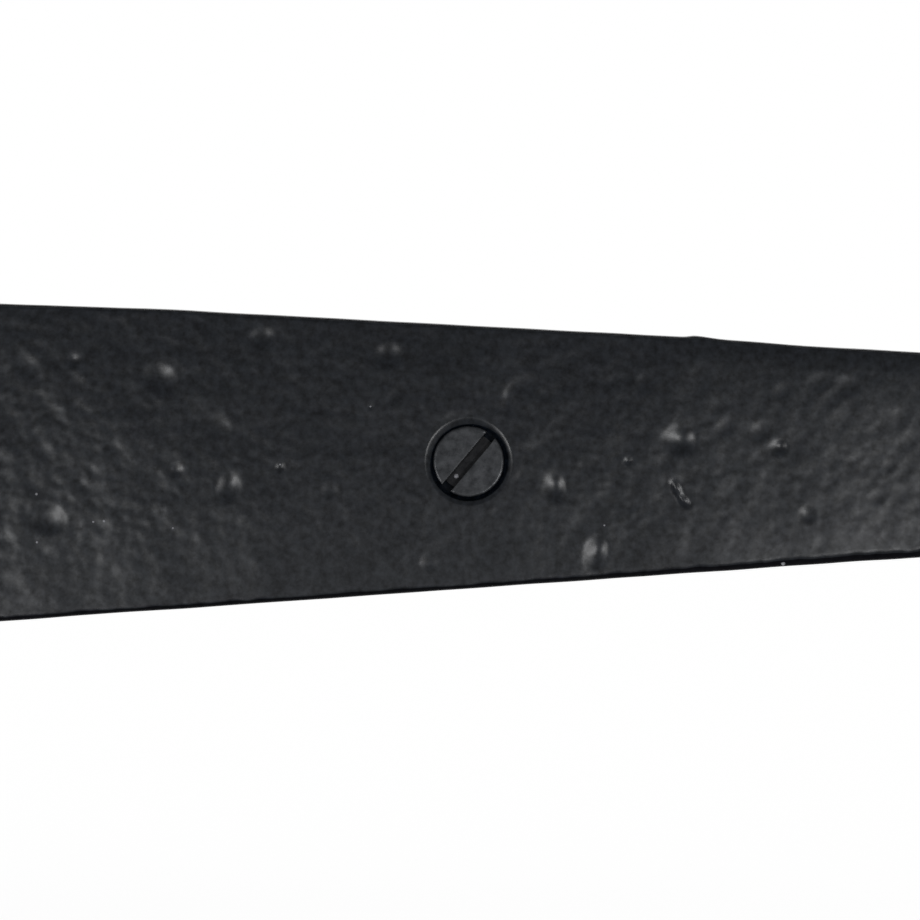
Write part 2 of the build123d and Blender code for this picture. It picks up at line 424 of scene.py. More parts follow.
# %% Relief
SWELL_HEIGHT = 0.14 * MM
SWELL_CELL = 13.0 * MM
PATCH_HEIGHT = 0.06 * MM
PATCH_CELL = 4.6 * MM
SCALE_HEIGHT = 0.070 * MM
SCALE_CELL = 1.9 * MM
SCALE_DRAW = (1.4, radians(-15.0))  # how far and which way the scales are drawn out
SCALE_REACH = (26.0 * MM, 42.0 * MM)  # left of the middle screw, where the scales grow
FLAKE_HEIGHT = 0.036 * MM
FLAKE_CELL = 0.95 * MM
FLAKE_DRAW = (1.3, radians(-10.0))
STREAK_HEIGHT = 0.036 * MM
STREAK_CELL = 1.9 * MM
STREAK_DRAW = (1.6, radians(58.0))
STREAK_REACH = (20.0 * MM, 34.0 * MM)  # right of it, where the streaks begin
CALM = 0.80  # share of the scales left on the calm middle
STREAK_CALM = 0.45  # share of the scales and patches lost where the streaks are
FLAKE_CALM = 0.4  # the same for the flakes
POOLING = 0.92  # share of the roughness that paint fills in a dent
POOL_REACH = 0.4  # power of a dent's shape to which that happens
RIM_MARGIN = 0.12 * MM
RIM_FADE = 1.2 * MM
ROOT_FADE = 4.0 * MM
EDGE_TOUCH = 0.001 * MM
rim_start = SEAT_RADIUS + RIM_MARGIN


def root_rise(x, z, knuckles):
    """Height of the root fillet's arc over the face, between each knuckle's two ends."""
    reach = np.abs(x - pin_x)
    into = np.clip(barrel_radius + root_fillet - reach, 0, root_fillet)
    arc = root_fillet - np.sqrt(root_fillet**2 - into**2)
    inside = [(z > low - EDGE_TOUCH) & (z < high + EDGE_TOUCH) for low, high in knuckles]
    return np.where(np.any(inside, axis=0), arc, 0.0)


def leaf_relief(x, z, dents, places, knuckles, seed, ease=1.0):
    """Swell, eased scales and streaks, less the dents, faded at holes and barrel, plus the roots."""
    from_screw = x - screw_x
    streaky = smooth_step(from_screw, *STREAK_REACH)
    scaly = mix(CALM, 1, smooth_step(-from_screw, *SCALE_REACH)) - STREAK_CALM * streaky
    slow = SWELL_HEIGHT * swell(x, z, SWELL_CELL, seed)
    slow += (1 - STREAK_CALM * streaky) * PATCH_HEIGHT * swell(x, z, PATCH_CELL, seed + 4)
    rough = scaly * SCALE_HEIGHT * drawn_swell(x, z, SCALE_CELL, *SCALE_DRAW, seed + 1)
    flaky = np.sqrt(scaly) * (1 - FLAKE_CALM * streaky)
    rough += flaky * FLAKE_HEIGHT * drawn_swell(x, z, FLAKE_CELL, *FLAKE_DRAW, seed + 3)
    rough += streaky * STREAK_HEIGHT * drawn_swell(x, z, STREAK_CELL, *STREAK_DRAW, seed + 2)
    hollow = np.zeros(x.shape)
    pooled = np.zeros(x.shape)
    for dent in dents:
        shape = dent_shape(x, z, dent)
        hollow += shape * dent[-1]
        pooled = np.maximum(pooled, shape**POOL_REACH)
    height = slow + ease * rough * (1 - POOLING * pooled) - hollow
    for hole_x, hole_z in places:
        away = np.hypot(x - hole_x, z - hole_z)
        height = height * smooth_step(away, rim_start, rim_start + RIM_FADE)
    inner = barrel_radius + root_fillet
    height = height * smooth_step(np.abs(x - pin_x), inner, inner + ROOT_FADE)
    return height + root_rise(x, z, knuckles)


print(f"relief fades from {(rim_start + RIM_FADE) / MM:.2f} to {rim_start / MM:.2f} mm from a hole")

# %% [markdown]
# ## Outlines
# A leaf's outline is four sides: the bottom, the far end, the top and the near edge beside the barrel.
# Each corner is a short parabola, half of it on each of its two sides. The grid's lines are closest
# where the photo looks, and lines lie on both ends of every knuckle. A filled curve would give the
# outline too, but not a face whose lines run along the leaf.

# %% Stations along the sides
CORNER_POINTS = 6
FINE_STEP = 0.30 * MM
COARSE_STEP = 0.85 * MM
STEP_CHANGE = 12.0 * MM
STATION_SAMPLES = 4000
END_LINES = 4  # that a knuckle's rounded end needs


def strap_stations(start, stop):
    """x of the strap's columns: the running sum of one over a spacing that is fine in the photo."""
    x = np.linspace(start, stop, STATION_SAMPLES)
    near = smooth_step(x, photo_start - STEP_CHANGE, photo_start)
    far = 1 - smooth_step(x, photo_stop, photo_stop + STEP_CHANGE)
    spacing = mix(COARSE_STEP, FINE_STEP, near * far)
    count = np.concatenate([[0], np.cumsum(np.diff(x) / spacing[1:])])
    return np.interp(np.linspace(0, count[-1], int(count[-1]) + 1), count, x)


def even(start, stop, spacing):
    """Evenly spaced values from start to stop, about one spacing apart."""
    return np.linspace(start, stop, int(np.ceil((stop - start) / spacing)) + 1)


end_steps = KNUCKLE_ROUND * (1 - np.cos(np.linspace(0, pi / 2, END_LINES + 1)))


def edge_lines(low, high, knuckles, spacing):
    """z of the lines along an inner edge, and each knuckle's first and last line by number."""
    runs = []
    at = low
    for start, stop in knuckles:
        runs += [even(at, start, spacing)[:-1], (start + end_steps)[:-1]]
        runs += [even(start + KNUCKLE_ROUND, stop - KNUCKLE_ROUND, spacing), (stop - end_steps)[-2:0:-1]]
        at = stop
    runs.append(even(at, high, spacing))
    lines = np.concatenate(runs)
    spans = [(np.argmin(abs(lines - a)), np.argmin(abs(lines - b))) for a, b in knuckles]
    return lines, spans


def half_corner(corner, first_arm, second_arm):
    """A rounded corner from its middle to the end of its second arm, on a parabola between the arms."""
    t = np.linspace(0.5, 1, CORNER_POINTS)[:, None]
    return (1 - t) ** 2 * (corner + first_arm) + 2 * t * (1 - t) * corner + t**2 * (corner + second_arm)


print(f"columns {FINE_STEP / MM:.2f} to {COARSE_STEP / MM:.2f} mm apart")

# %% [markdown]
# The strap's two long sides touch the round tip as tangents. The tip's middle, its radius and the root's
# half width give the tangent's angle, so no point of the outline is written down.

# %% Outline of the strap
STRAP_CORNER = 1.5 * MM
STRAP_ROW_STEP = 0.56 * MM
tip_middle = strap_high.x - STRAP_TIP_RADIUS
side_length = tip_middle - strap_shoulder
side_angle = acos(STRAP_TIP_RADIUS / hypot(side_length, half_root)) + atan2(half_root, side_length)
tangent = np.array([tip_middle - STRAP_TIP_RADIUS * cos(side_angle), STRAP_TIP_RADIUS * sin(side_angle)])
mirror = np.array([1.0, -1.0])


def strap_sides():
    """Straight sides from the shoulder to where they touch the round tip, the lower one mirrored."""
    corner = np.array([strap_shoulder, half_root])
    along = (tangent - corner) / np.linalg.norm(tangent - corner) * STRAP_CORNER
    down = np.array([0.0, -STRAP_CORNER])
    x = strap_stations(corner[0] + along[0], tangent[0])
    z = np.interp(x, [corner[0], tangent[0]], [corner[1], tangent[1]])
    top = np.concatenate([half_corner(corner, down, along), np.stack([x, z], axis=1)[1:]])
    high = half_root - STRAP_CORNER
    lines, spans = edge_lines(-high, high, strap_knuckles, STRAP_ROW_STEP)
    upper = half_corner(corner, along, down)
    straight = np.stack([np.full(len(lines), strap_shoulder), lines], axis=1)
    near = np.concatenate([upper * mirror, straight[1:-1], upper[::-1]])
    turn = np.linspace(side_angle - pi, pi - side_angle, len(near))
    far = np.array([tip_middle, 0.0]) + STRAP_TIP_RADIUS * np.stack([np.cos(turn), np.sin(turn)], axis=1)
    shift = CORNER_POINTS - 1
    return top * mirror, far, top, near, [(a + shift, b + shift) for a, b in spans]


print(f"strap grid {len(strap_sides()[0])} by {len(strap_sides()[3])}")

# %% [markdown]
# The plate is a plain upright rectangle with round corners. Its grid runs from its inner edge, beside
# the barrel, to its outer edge.

# %% Outline of the plate
PLATE_CORNER = 4.0 * MM
PLATE_STEP = 0.7 * MM


def plate_sides():
    """An upright rectangle, every corner the same parabola mirrored, from inner to outer edge."""
    inner, outer, half_height = -plate_low.x, plate_low.x, plate_high.z
    outwards = np.array([-PLATE_CORNER, 0.0])
    down = np.array([0.0, -PLATE_CORNER])
    corner = np.array([inner, half_height])
    x = even(outer + PLATE_CORNER, inner - PLATE_CORNER, PLATE_STEP)[::-1]
    straight = np.stack([x, np.full(len(x), half_height)], axis=1)
    flip = np.array([-1.0, 1.0])
    along_top = half_corner(corner, down, outwards)
    top = np.concatenate([along_top, straight[1:-1], (along_top * flip)[::-1]])
    low = -half_height + PLATE_CORNER
    lines, spans = edge_lines(low, -low, plate_knuckles, PLATE_STEP)
    upper = half_corner(corner, outwards, down)
    middle = np.stack([np.full(len(lines), inner), lines], axis=1)
    near = np.concatenate([upper * mirror, middle[1:-1], upper[::-1]])
    even_z = np.linspace(low, -low, len(lines))
    far_middle = np.stack([np.full(len(lines), outer), even_z], axis=1)
    far = np.concatenate([upper * mirror * flip, far_middle[1:-1], (upper * flip)[::-1]])
    shift = CORNER_POINTS - 1
    return top * mirror, far, top, near, [(a + shift, b + shift) for a, b in spans]


print(f"plate grid {len(plate_sides()[0])} by {len(plate_sides()[3])}")

# %% [markdown]
# ## Edges
# A casting leaves its mould because its walls lean, and its front edges are round. Each point of the
# outline carries a rib: from the face, round the edge, down the leaning wall to the back. A Bevel
# modifier rounds an edge too, but evenly, and this one's radius changes along the strap. The rounds and
# walls that face down, and the end of the rounds that face up, wear a matt copy of the paint that paints
# the shade on them, and the rest is satin, so each rib is cut where the finish changes.

# %% Loops and ribs
ROUND_STEPS = 7
WALL_STEPS = 2
LIP_STEPS = 2  # of the round, before the matt painted shade begins where the edge faces down
TOP_LIP_STEPS = 4  # the same where it faces up
FACING = 0.5  # rise of a normal from which its edge faces up, or fall from which it faces down


def closed_loop(bottom, far, top, near):
    """The outline as one run: the bottom, up the far end, back along the top, down the near edge."""
    return np.concatenate([bottom[:-1], far[:-1], top[::-1][:-1], near[::-1][:-1]])


def four_sides(loop, columns, rows):
    """The run cut back into its bottom, far, top and near sides."""
    ring = np.concatenate([loop, loop[:1]])
    far_end = columns + rows
    top_end = far_end + columns
    bottom, far = ring[: columns + 1], ring[columns : far_end + 1]
    top, near = ring[far_end : top_end + 1], ring[top_end:]
    return bottom, far, top[::-1], near[::-1]


def outward(loop, side):
    """Normals in the leaf's plane: the chord between each point's neighbours, turned a quarter turn."""
    chord = np.roll(loop, -1, axis=0) - np.roll(loop, 1, axis=0)
    normal = side * np.stack([chord[:, 1], -chord[:, 0]], axis=1)
    return normal / np.linalg.norm(normal, axis=1, keepdims=True)


def edge_profile(radius):
    """Inset and height along each rib: an arc of the given radius that touches face and leaning wall."""
    radius = radius[:, None]
    middle_height = LEAF_THICKNESS - radius
    middle_inset = (radius + middle_height * sin(DRAFT_ANGLE)) / cos(DRAFT_ANGLE)
    turn = np.linspace(0, pi / 2 - DRAFT_ANGLE, ROUND_STEPS + 1)
    arc_inset = middle_inset - radius * np.sin(turn)
    arc_height = middle_height + radius * np.cos(turn)
    down = np.linspace(1, 0, WALL_STEPS + 1)[1:]
    inset = np.hstack([arc_inset, arc_inset[:, -1:] * down])
    height = np.hstack([arc_height, arc_height[:, -1:] * down])
    return inset, height


def painted_shade_steps(facing):
    """Which steps of a rib wear the matt painted shade: round and wall if it faces down, the round's end
    if it faces up.
    """
    steps = np.arange(ROUND_STEPS + WALL_STEPS)
    below = (facing[:, None] < -FACING) & (steps >= LIP_STEPS)
    above = (facing[:, None] > FACING) & (steps >= TOP_LIP_STEPS) & (steps < ROUND_STEPS)
    return below | above


print(f"ribs of {ROUND_STEPS + WALL_STEPS} steps")

# %% [markdown]
# The face lies between the four sides. Straight lines from bottom to top fill it, and near both ends they
# bend, by a high power of the way along, to meet the end's own points. A grid fill would do the same for
# a flat face, but here each point also has to be lifted by the relief.

# %% Face of a leaf
BULGE_POWER = 8


def face_grid(bottom, far, top, near):
    """Straight lines from the bottom to the top, bent near each end to meet that end's own points."""
    u = np.linspace(0, 1, len(bottom))[:, None, None]
    v = np.linspace(0, 1, len(near))[None, :, None]
    straight = (1 - v) * bottom[:, None] + v * top[:, None]
    near_bend = near - ((1 - v[0]) * near[0] + v[0] * near[-1])
    far_bend = far - ((1 - v[0]) * far[0] + v[0] * far[-1])
    return straight + (1 - u) ** BULGE_POWER * near_bend + u**BULGE_POWER * far_bend


def raised(flat, height):
    """Points of the wall plane lifted out of the wall by a height."""
    return np.stack([flat[..., 0], -height, flat[..., 1]], axis=-1)


print("the ends bend by the power", BULGE_POWER)

# %% [markdown]
# ## Screw seats
# Each hole replaces a square window in the face's grid. Rings run from the window's border in to the
# seat's rim, over its soft lip, down the 45 degree seat and through the hole to the back. A boolean could
# cut the cone, but paint has rounded its rim, and on the upper left has filled it further. So the lip has
# two profiles, bare and filled, each a slope that grows inwards, and the direction blends them.

# %% Seats
WINDOW_REACH = 7.7 * MM
FACE_RINGS = 9
LIP_RINGS = 16
SEAT_RINGS = 7
BARE_FOOT = 4.95 * MM  # radius at which the bare lip meets the seat
FILLED_FOOT = 4.80 * MM
FILLED_TURN = radians(120.0)  # from +X, the middle of the filled side
FILLED_REACH = (-0.1, 0.9)  # cosine of the turn from there, over which the filling grows
bare_radii = np.array([5.05, 5.18, 5.28, 5.38, 5.60, 5.70, 5.85]) * MM
bare_tilts = np.radians([72.0, 60.0, 35.0, 20.0, 14.0, 10.0, 0.0])
filled_radii = np.array([4.88, 5.00, 5.45, 5.60, 5.70, 5.85]) * MM
filled_tilts = np.radians([50.0, 21.0, 19.0, 13.0, 10.0, 0.0])
filled_side = np.array([cos(FILLED_TURN), sin(FILLED_TURN)])


def seat_profile(lip_radii, lip_tilts, foot):
    """Radius and depth of the rings: the lip, the 45 degree seat and the plain hole.

    The lip's slope is read between its given radii, and its depth is the running sum of that slope.
    """
    lip = np.linspace(lip_radii[-1], lip_radii[0], LIP_RINGS + 1)
    slope = np.tan(np.interp(lip, lip_radii, lip_tilts))
    lip_depth = np.concatenate([[0], np.cumsum((slope[1:] + slope[:-1]) / 2 * -np.diff(lip))])
    share = np.linspace(0, 1, SEAT_RINGS + 1)
    seat = mix(foot, HOLE_RADIUS, share)
    radius = np.concatenate([lip, seat, [HOLE_RADIUS]])
    return radius, np.concatenate([lip_depth, SEAT_RADIUS - seat, [LEAF_THICKNESS]])


def seat_rings(way):
    """The bare profile, blended by direction into the one that paint has filled on one side."""
    filled = smooth_step(way @ filled_side, *FILLED_REACH)
    bare = seat_profile(bare_radii, bare_tilts, BARE_FOOT)
    full = seat_profile(filled_radii, filled_tilts, FILLED_FOOT)
    return [mix(start[:, None], stop[:, None], filled) for start, stop in zip(bare, full)]


def hole_window(grid, place):
    """First and last column and row of the square of cells round a hole."""
    hole_x, hole_z = place
    middle_row = grid[:, grid.shape[1] // 2, 0]
    columns = sorted(np.argmin(abs(middle_row - hole_x - side * WINDOW_REACH)) for side in (-1, 1))
    column = grid[np.argmin(abs(middle_row - hole_x)), :, 1]
    rows = [np.argmin(abs(column - hole_z - side * WINDOW_REACH)) for side in (-1, 1)]
    return columns, rows


def hole_block(grid, window, place, relief):
    """Rings of points from a window's border to the rim and down the seat, and the loop at the back."""
    (i, last_i), (j, last_j) = window
    border = np.concatenate(
        [grid[i:last_i, j], grid[last_i, j:last_j], grid[last_i:i:-1, last_j], grid[i, last_j:j:-1]]
    )
    centre = np.array(place)
    spoke = border - centre
    way = spoke / np.linalg.norm(spoke, axis=1, keepdims=True)
    radius, depth = seat_rings(way)
    share = np.linspace(0, 1, FACE_RINGS + 1)[:, None, None]
    on_face = centre + (1 - share) * spoke + share * radius[0, :, None] * way
    face = raised(on_face, LEAF_THICKNESS + relief(on_face[..., 0], on_face[..., 1]))
    in_seat = centre + radius[1:, :, None] * way
    rim_height = relief(on_face[-1, :, 0], on_face[-1, :, 1]) * (1 - depth[1:] / LEAF_THICKNESS)
    seat = raised(in_seat, LEAF_THICKNESS - depth[1:] + rim_height)
    return ring_block(np.concatenate([face, seat])), seat[-1]


print(len(seat_profile(bare_radii, bare_tilts, BARE_FOOT)[0]), "rings from a lip to the back")

# %% [markdown]
# ## Knuckles
# A knuckle is the leaf's own metal, cast round the pin. In plan it runs from the leaf's face up its root
# fillet, three quarters of the way round the barrel and back along the wall. That path is carried up the
# pin, drawn in by a small round at both ends and unevenly between, as cast skin is. A cylinder joined by
# a boolean would be quicker, but would leave a hard seam where the real root is a fillet.

# %% Path round a knuckle
FILLET_STEPS = 10
BARREL_STEPS = 54
BACK_STEPS = 6
BACK_FADE = 1.5  # how fast the drawing in dies along the back, which ends flat
BORE_STEPS = 48
KNUCKLE_SWELL = 0.14 * MM
KNUCKLE_CELL = 2.6 * MM


def knuckle_path(start_reach):
    """Part of the fillet's arc, three quarters of the barrel's circle, then straight along the wall.

    u runs from the pin along the leaf and v out of the wall. Then come the normal's u and v, and the
    share by which a point may be drawn in.
    """
    centre = barrel_radius + root_fillet
    first = np.arcsin((centre - start_reach) / root_fillet)
    rise = np.linspace(first, pi / 2, FILLET_STEPS + 1)[:-1]
    around = np.linspace(0, 1.5 * pi, BARREL_STEPS + 1)
    back = np.linspace(0, 1, BACK_STEPS + 1)[1:]
    wall = np.full(BACK_STEPS, -barrel_radius)
    grow = (rise - first) / (pi / 2 - first)
    fade = np.clip(1 - BACK_FADE * back, 0, 1)
    u = [centre - root_fillet * np.sin(rise), barrel_radius * np.cos(around), leaf_setback * back]
    v = [-root_fillet * np.cos(rise), barrel_radius * np.sin(around), wall]
    normal_u = [np.sin(rise), np.cos(around), np.zeros(BACK_STEPS)]
    normal_v = [np.cos(rise), np.sin(around), -np.ones(BACK_STEPS)]
    draw = [grow, np.ones(BARREL_STEPS + 1), fade]
    return [np.concatenate(part) for part in (u, v, normal_u, normal_v, draw)]


def knuckle_ribs(lines, side, start_reach):
    """The path at each line up the pin, drawn in by a round at the ends and by noise all over."""
    u, v, normal_u, normal_v, draw = knuckle_path(start_reach)
    to_end = np.minimum(lines - lines[0], lines[-1] - lines)
    inside = np.clip(1 - to_end / KNUCKLE_ROUND, 0, 1)
    run = np.cumsum(np.hypot(np.diff(u, prepend=u[0]), np.diff(v, prepend=v[0])))
    around, up = np.meshgrid(run, lines)
    uneven = KNUCKLE_SWELL * (swell(around, up, KNUCKLE_CELL, SEEDS["knuckles"]) + 1) / 2
    draw_in = (KNUCKLE_ROUND * (1 - np.sqrt(1 - inside**2))[:, None] + uneven) * draw
    x = pin_x + side * (u - draw_in * normal_u)
    y = pin_y - (v - draw_in * normal_v)
    return np.stack([x, y, np.broadcast_to(lines[:, None], x.shape)], axis=-1)


def bore_loops(ends):
    """A circle round the pin at each of the given heights."""
    turn = np.arange(BORE_STEPS) * 2 * pi / BORE_STEPS
    x, z = np.meshgrid(pin_x + BORE_RADIUS * np.cos(turn), ends)
    y = np.broadcast_to(pin_y + BORE_RADIUS * np.sin(turn), x.shape)
    return np.stack([x, y, z], axis=-1)


print(f"barrel in {BARREL_STEPS} steps, bore in {BORE_STEPS}")

# %% [markdown]
# ## Grit and painted glints
# A few small grains sunk in the paint, as sand would be, whose pale grey paints the small glints on the
# face. Particles could strew them, but these have known places, so each is a small flattened ball sunk in
# the face, at the face's own height there.

# %% Grains of grit with painted glints
GRAIN_RINGS = 9
GRAIN_STEPS = 16
GRAIN_FLATNESS = 0.5


def grain_block(radius, height):
    """A flattened ball from pole to pole, in its own axes: along, across and up."""
    rise = np.linspace(-pi / 2, pi / 2, GRAIN_RINGS)[:, None]
    turn = np.arange(GRAIN_STEPS) * 2 * pi / GRAIN_STEPS
    flat = radius * np.cos(rise)
    along = flat * np.cos(turn)
    across = flat * np.sin(turn)
    up = np.broadcast_to(height * np.sin(rise), along.shape)
    return ring_block(np.stack([along, across, up], axis=-1))


def grain_on_face(along, up, radius, sink, relief):
    """A grain half sunk in a leaf's face, or deeper by sink, in millimetres from the middle screw."""
    x, z = screw_x + along * MM, screw_z + up * MM
    points, quads = grain_block(radius * MM, radius * GRAIN_FLATNESS * MM)
    lift = LEAF_THICKNESS - sink * MM + relief(np.array([x]), np.array([z]))[0]
    return np.array([x, 0.0, z]) + raised(points[:, :2], lift + points[:, 2]), quads


print(f"grains of {GRAIN_RINGS} by {GRAIN_STEPS} points")

# %% [markdown]
# ## One casting
# Each leaf comes out of its mould in one piece: face, seats, edges, knuckles and a flat back. The parts
# could stay separate meshes, but then light would show at their joins, so one function makes all the
# blocks of a leaf and joins them. The strap grows towards +X from the pin and the plate towards -X, so
# side says which way a leaf runs.

# %% Cast leaf
PLAN_AXES = [0, 1]
WALL_AXES = [0, 2]


def cast_leaf(name, sides, side, places, edge_radius, wander, relief, grains=()):
    """All the blocks of one leaf, joined into one closed casting."""
    bottom, far, top, near, spans = sides
    columns, rows = len(bottom) - 1, len(near) - 1
    loop = closed_loop(bottom, far, top, near)
    normal = outward(loop, side)
    loop = loop + wander(loop)[:, None] * normal
    inset, height = edge_profile(edge_radius(loop, normal))
    ribs_flat = loop[:, None] - inset[..., None] * normal[:, None]
    face_edge = ribs_flat[:, 0]
    stretch = 1 + relief(face_edge[:, 0], face_edge[:, 1]) / LEAF_THICKNESS
    ribs = raised(ribs_flat, height * stretch[:, None])

    grid = face_grid(*four_sides(face_edge, columns, rows))
    kept = np.ones((columns, rows), dtype=bool)
    blocks = []
    back_holes = []
    for place in places:
        window = hole_window(grid, place)
        (i, last_i), (j, last_j) = window
        kept[i:last_i, j:last_j] = False
        block, back_hole = hole_block(grid, window, place, relief)
        blocks.append(block)
        back_holes.append(back_hole)
    blocks.append(grid_block(raised(grid, LEAF_THICKNESS + relief(grid[..., 0], grid[..., 1])), kept))

    edge_kept = np.ones((len(loop), ribs.shape[1] - 1), dtype=bool)
    for first, last in spans:
        edge_kept[len(loop) - last : len(loop) - first] = False
        start_reach = abs(face_edge[len(loop) - first, 0] - pin_x)
        barrel = knuckle_ribs(near[first : last + 1, 1], side, start_reach)
        bore = bore_loops(near[[first, last], 1])
        blocks += [grid_block(barrel), ring_block(bore)]
        for line, path, hole in ((first, barrel[0], bore[0]), (last, barrel[-1], bore[1])):
            end_face = np.concatenate([path, ribs[len(loop) - line][-2:0:-1]])
            blocks.append(flat_block(end_face, [hole], PLAN_AXES))
    # the downward rounds and walls, and the end of the upward rounds, take the matt paint as painted shade
    shade_mask = painted_shade_steps(normal[:, 1])
    loops = np.concatenate([ribs, ribs[:1]])
    blocks.append(grid_block(loops, edge_kept & ~shade_mask))
    blocks.append(flat_block(ribs[:, -1], back_holes, WALL_AXES))
    return make_piece(name, blocks, [grid_block(loops, edge_kept & shade_mask)], grains)


print("a knuckle's end is cut up in the axes", PLAN_AXES, "and a back in the axes", WALL_AXES)

# %% [markdown]
# ## The strap leaf
# The strap's top edge is a little hollow towards both ends of the photo and has one small lump. Its lower
# front edge is rounder than its upper one, and uneven. Sculpting could give this, but a function of the
# place along the edge keeps it exact and open to change.

# %% Edges of the strap
TOP_DIP = 0.40 * MM
DIP_START = 34.0 * MM  # from the dip's own middle, as is the next
DIP_STOP = 56.0 * MM
DIP_MIDDLE = -6.0 * MM
DIP_END = (80.0 * MM, 100.0 * MM)
TOP_LUMP = 0.24 * MM
LUMP_FROM_SCREW = 30.0 * MM
LUMP_RISE = 1.0 * MM
LUMP_FALL = 2.6 * MM
WANDER_HEIGHT = 0.10 * MM
WANDER_CELL = 9.0 * MM
SHOULDER_CALM = (2.0 * MM, 20.0 * MM)  # from the shoulder, where the unevenness grows
TOP_EDGE_ROUND = 0.5 * MM
ROUND_WANDER = 0.45
ROUND_CELL = 2.4 * MM
ROUND_GROWTH = 0.55
UPWARD = (0.5, 0.9)  # rise of a normal over which its edge comes to count as an upper one


def strap_calm(x):
    """0 at the shoulder, 1 beyond it."""
    return smooth_step(x - strap_shoulder, *SHOULDER_CALM)


def strap_wander(loop):
    """Stray of the outline: a slow wander all round, and on top a dip to each side and the lump."""
    from_screw = loop[:, 0] - screw_x
    stray = WANDER_HEIGHT * swell(loop[:, 0], loop[:, 1], WANDER_CELL, SEEDS["strap outline"])
    dip = smooth_step(abs(from_screw - DIP_MIDDLE), DIP_START, DIP_STOP)
    dip = dip * (1 - smooth_step(abs(from_screw), *DIP_END))
    past = from_screw - LUMP_FROM_SCREW
    lump = np.exp(-((past / np.where(past < 0, LUMP_RISE, LUMP_FALL)) ** 2))
    stray = stray + np.where(loop[:, 1] > 0, TOP_LUMP * lump - TOP_DIP * dip, 0)
    return stray * strap_calm(loop[:, 0])


def strap_edge_round(loop, normal):
    """Radius of the front edge: smaller where the edge faces up, uneven and growing along the bottom."""
    upward = smooth_step(normal[:, 1], *UPWARD)
    radius = mix(EDGE_ROUND, TOP_EDGE_ROUND, upward)
    uneven = ROUND_WANDER * swell(loop[:, 0], loop[:, 1], ROUND_CELL, SEEDS["strap edge"])
    growth = ROUND_GROWTH * (smooth_step(loop[:, 0], screw_x, photo_stop) - 0.5) * (1 - upward)
    return radius * (1 + (uneven + growth) * strap_calm(loop[:, 0]))


print(f"top edge dips {TOP_DIP / MM:.2f} mm, and its lump is {TOP_LUMP / MM:.2f} mm high")

# %% [markdown]
# The strap isn't quite flat across: its middle is a little proud, and both long edges fall away. Bending
# a flat face with a lattice would do it as well, but here the same function serves the face, the rims and
# the grains. Towards its lower edge the face is also smoother.

# %% Face of the strap
STRAP_CROWN = 0.50 * MM
CROWN_POWER = 2.0
TOP_POWER = 8.0  # right of the middle screw, as are the next two
LOW_POWER = 2.4
LOW_CROWN = 0.25 * MM
CROWN_START = 30.0 * MM
LOWER_EASE = 0.55  # share of the roughness lost towards the lower edge
LOWER_REACH = (0.45, 0.85)  # of the half width


def strap_relief(x, z):
    """The strap's own relief, on a face that falls away by a power of the way to each long edge."""
    half_width = np.interp(x, [strap_shoulder, tangent[0]], [half_root, tangent[1]])
    right = smooth_step(x - screw_x, *STREAK_REACH)
    top_power = mix(CROWN_POWER, TOP_POWER, right)
    low_power = mix(CROWN_POWER, LOW_POWER, right)
    power = np.where(z > 0, top_power, low_power)
    drop = np.where(z > 0, STRAP_CROWN, mix(STRAP_CROWN, LOW_CROWN, right))
    crown = drop * np.abs(z / half_width) ** power * smooth_step(x - strap_shoulder, 0, CROWN_START)
    ease = 1 - LOWER_EASE * smooth_step(-z / half_width, *LOWER_REACH)
    return leaf_relief(x, z, strap_dents, strap_places, strap_knuckles, SEEDS["strap"], ease) - crown


print(f"crown {STRAP_CROWN / MM:.2f} mm")

# %% [markdown]
# With its outline, edge and face known, the strap is one call. Its pale grains, whose grey paints small
# glints, are listed by place: along and up from the middle screw, radius and how much deeper than half
# each is sunk.

# %% Make the strap
glint_grit_spots = [
    (-56.6, -3.8, 0.18, 0.0),
    (-56.6, -10.1, 0.16, 0.0),
    (-49.2, -7.5, 0.15, 0.0),
    (-47.8, -7.4, 0.17, 0.0),
    (-38.8, -8.4, 0.14, 0.0),
    (-24.7, -0.2, 0.14, 0.0),
    (-12.8, 7.3, 0.14, 0.0),
    (17.7, -8.5, 0.14, 0.0),
    (41.1, -13.7, 0.28, 0.3),
]
strap_grains = [grain_on_face(*spot, strap_relief) for spot in glint_grit_spots]
strap = cast_leaf(
    "strap_casting",
    strap_sides(),
    1,
    strap_places,
    strap_edge_round,
    strap_wander,
    strap_relief,
    strap_grains,
)

# %% [markdown]
# ## The plate leaf
# The plate is screwed to the post. It is an upright rectangle with a knuckle above and one below the
# strap's. It could have a simpler mesh of its own, but it is the same casting work, so the same function
# makes it. Its outline strays inwards only, to stay inside its solid's box.

# %% Make the plate
SWELL_REACH = 0.7  # largest height of the noise
PLATE_CALM = (1.0 * MM, 8.0 * MM)  # from the inner edge, where the unevenness grows


def plate_wander(loop):
    """A slow stray of the outline, inwards only, and none along the inner edge."""
    noise = swell(loop[:, 0], loop[:, 1], WANDER_CELL, SEEDS["plate outline"])
    start, stop = PLATE_CALM
    growth = smooth_step(-loop[:, 0], plate_low.x + start, plate_low.x + stop)
    return WANDER_HEIGHT * (noise - SWELL_REACH) * growth


def plate_edge_round(loop, normal):
    """One radius all round."""
    return np.full(len(loop), EDGE_ROUND)


def plate_relief(x, z):
    """The plate's own dents and holes."""
    return leaf_relief(x, z, plate_dents, plate_places, plate_knuckles, SEEDS["plate"])


plate = cast_leaf(
    "plate_casting",
    plate_sides(),
    -1,
    plate_places,
    plate_edge_round,
    plate_wander,
    plate_relief,
)

# %% [markdown]
# ## The pin
# A plain steel pin, hammered over at both ends so that it can't fall out. It is a half profile turned
# round its axis, as a Screw modifier would do, but worked out here so that the hammer's marks can be
# pressed into the two heads as noise.

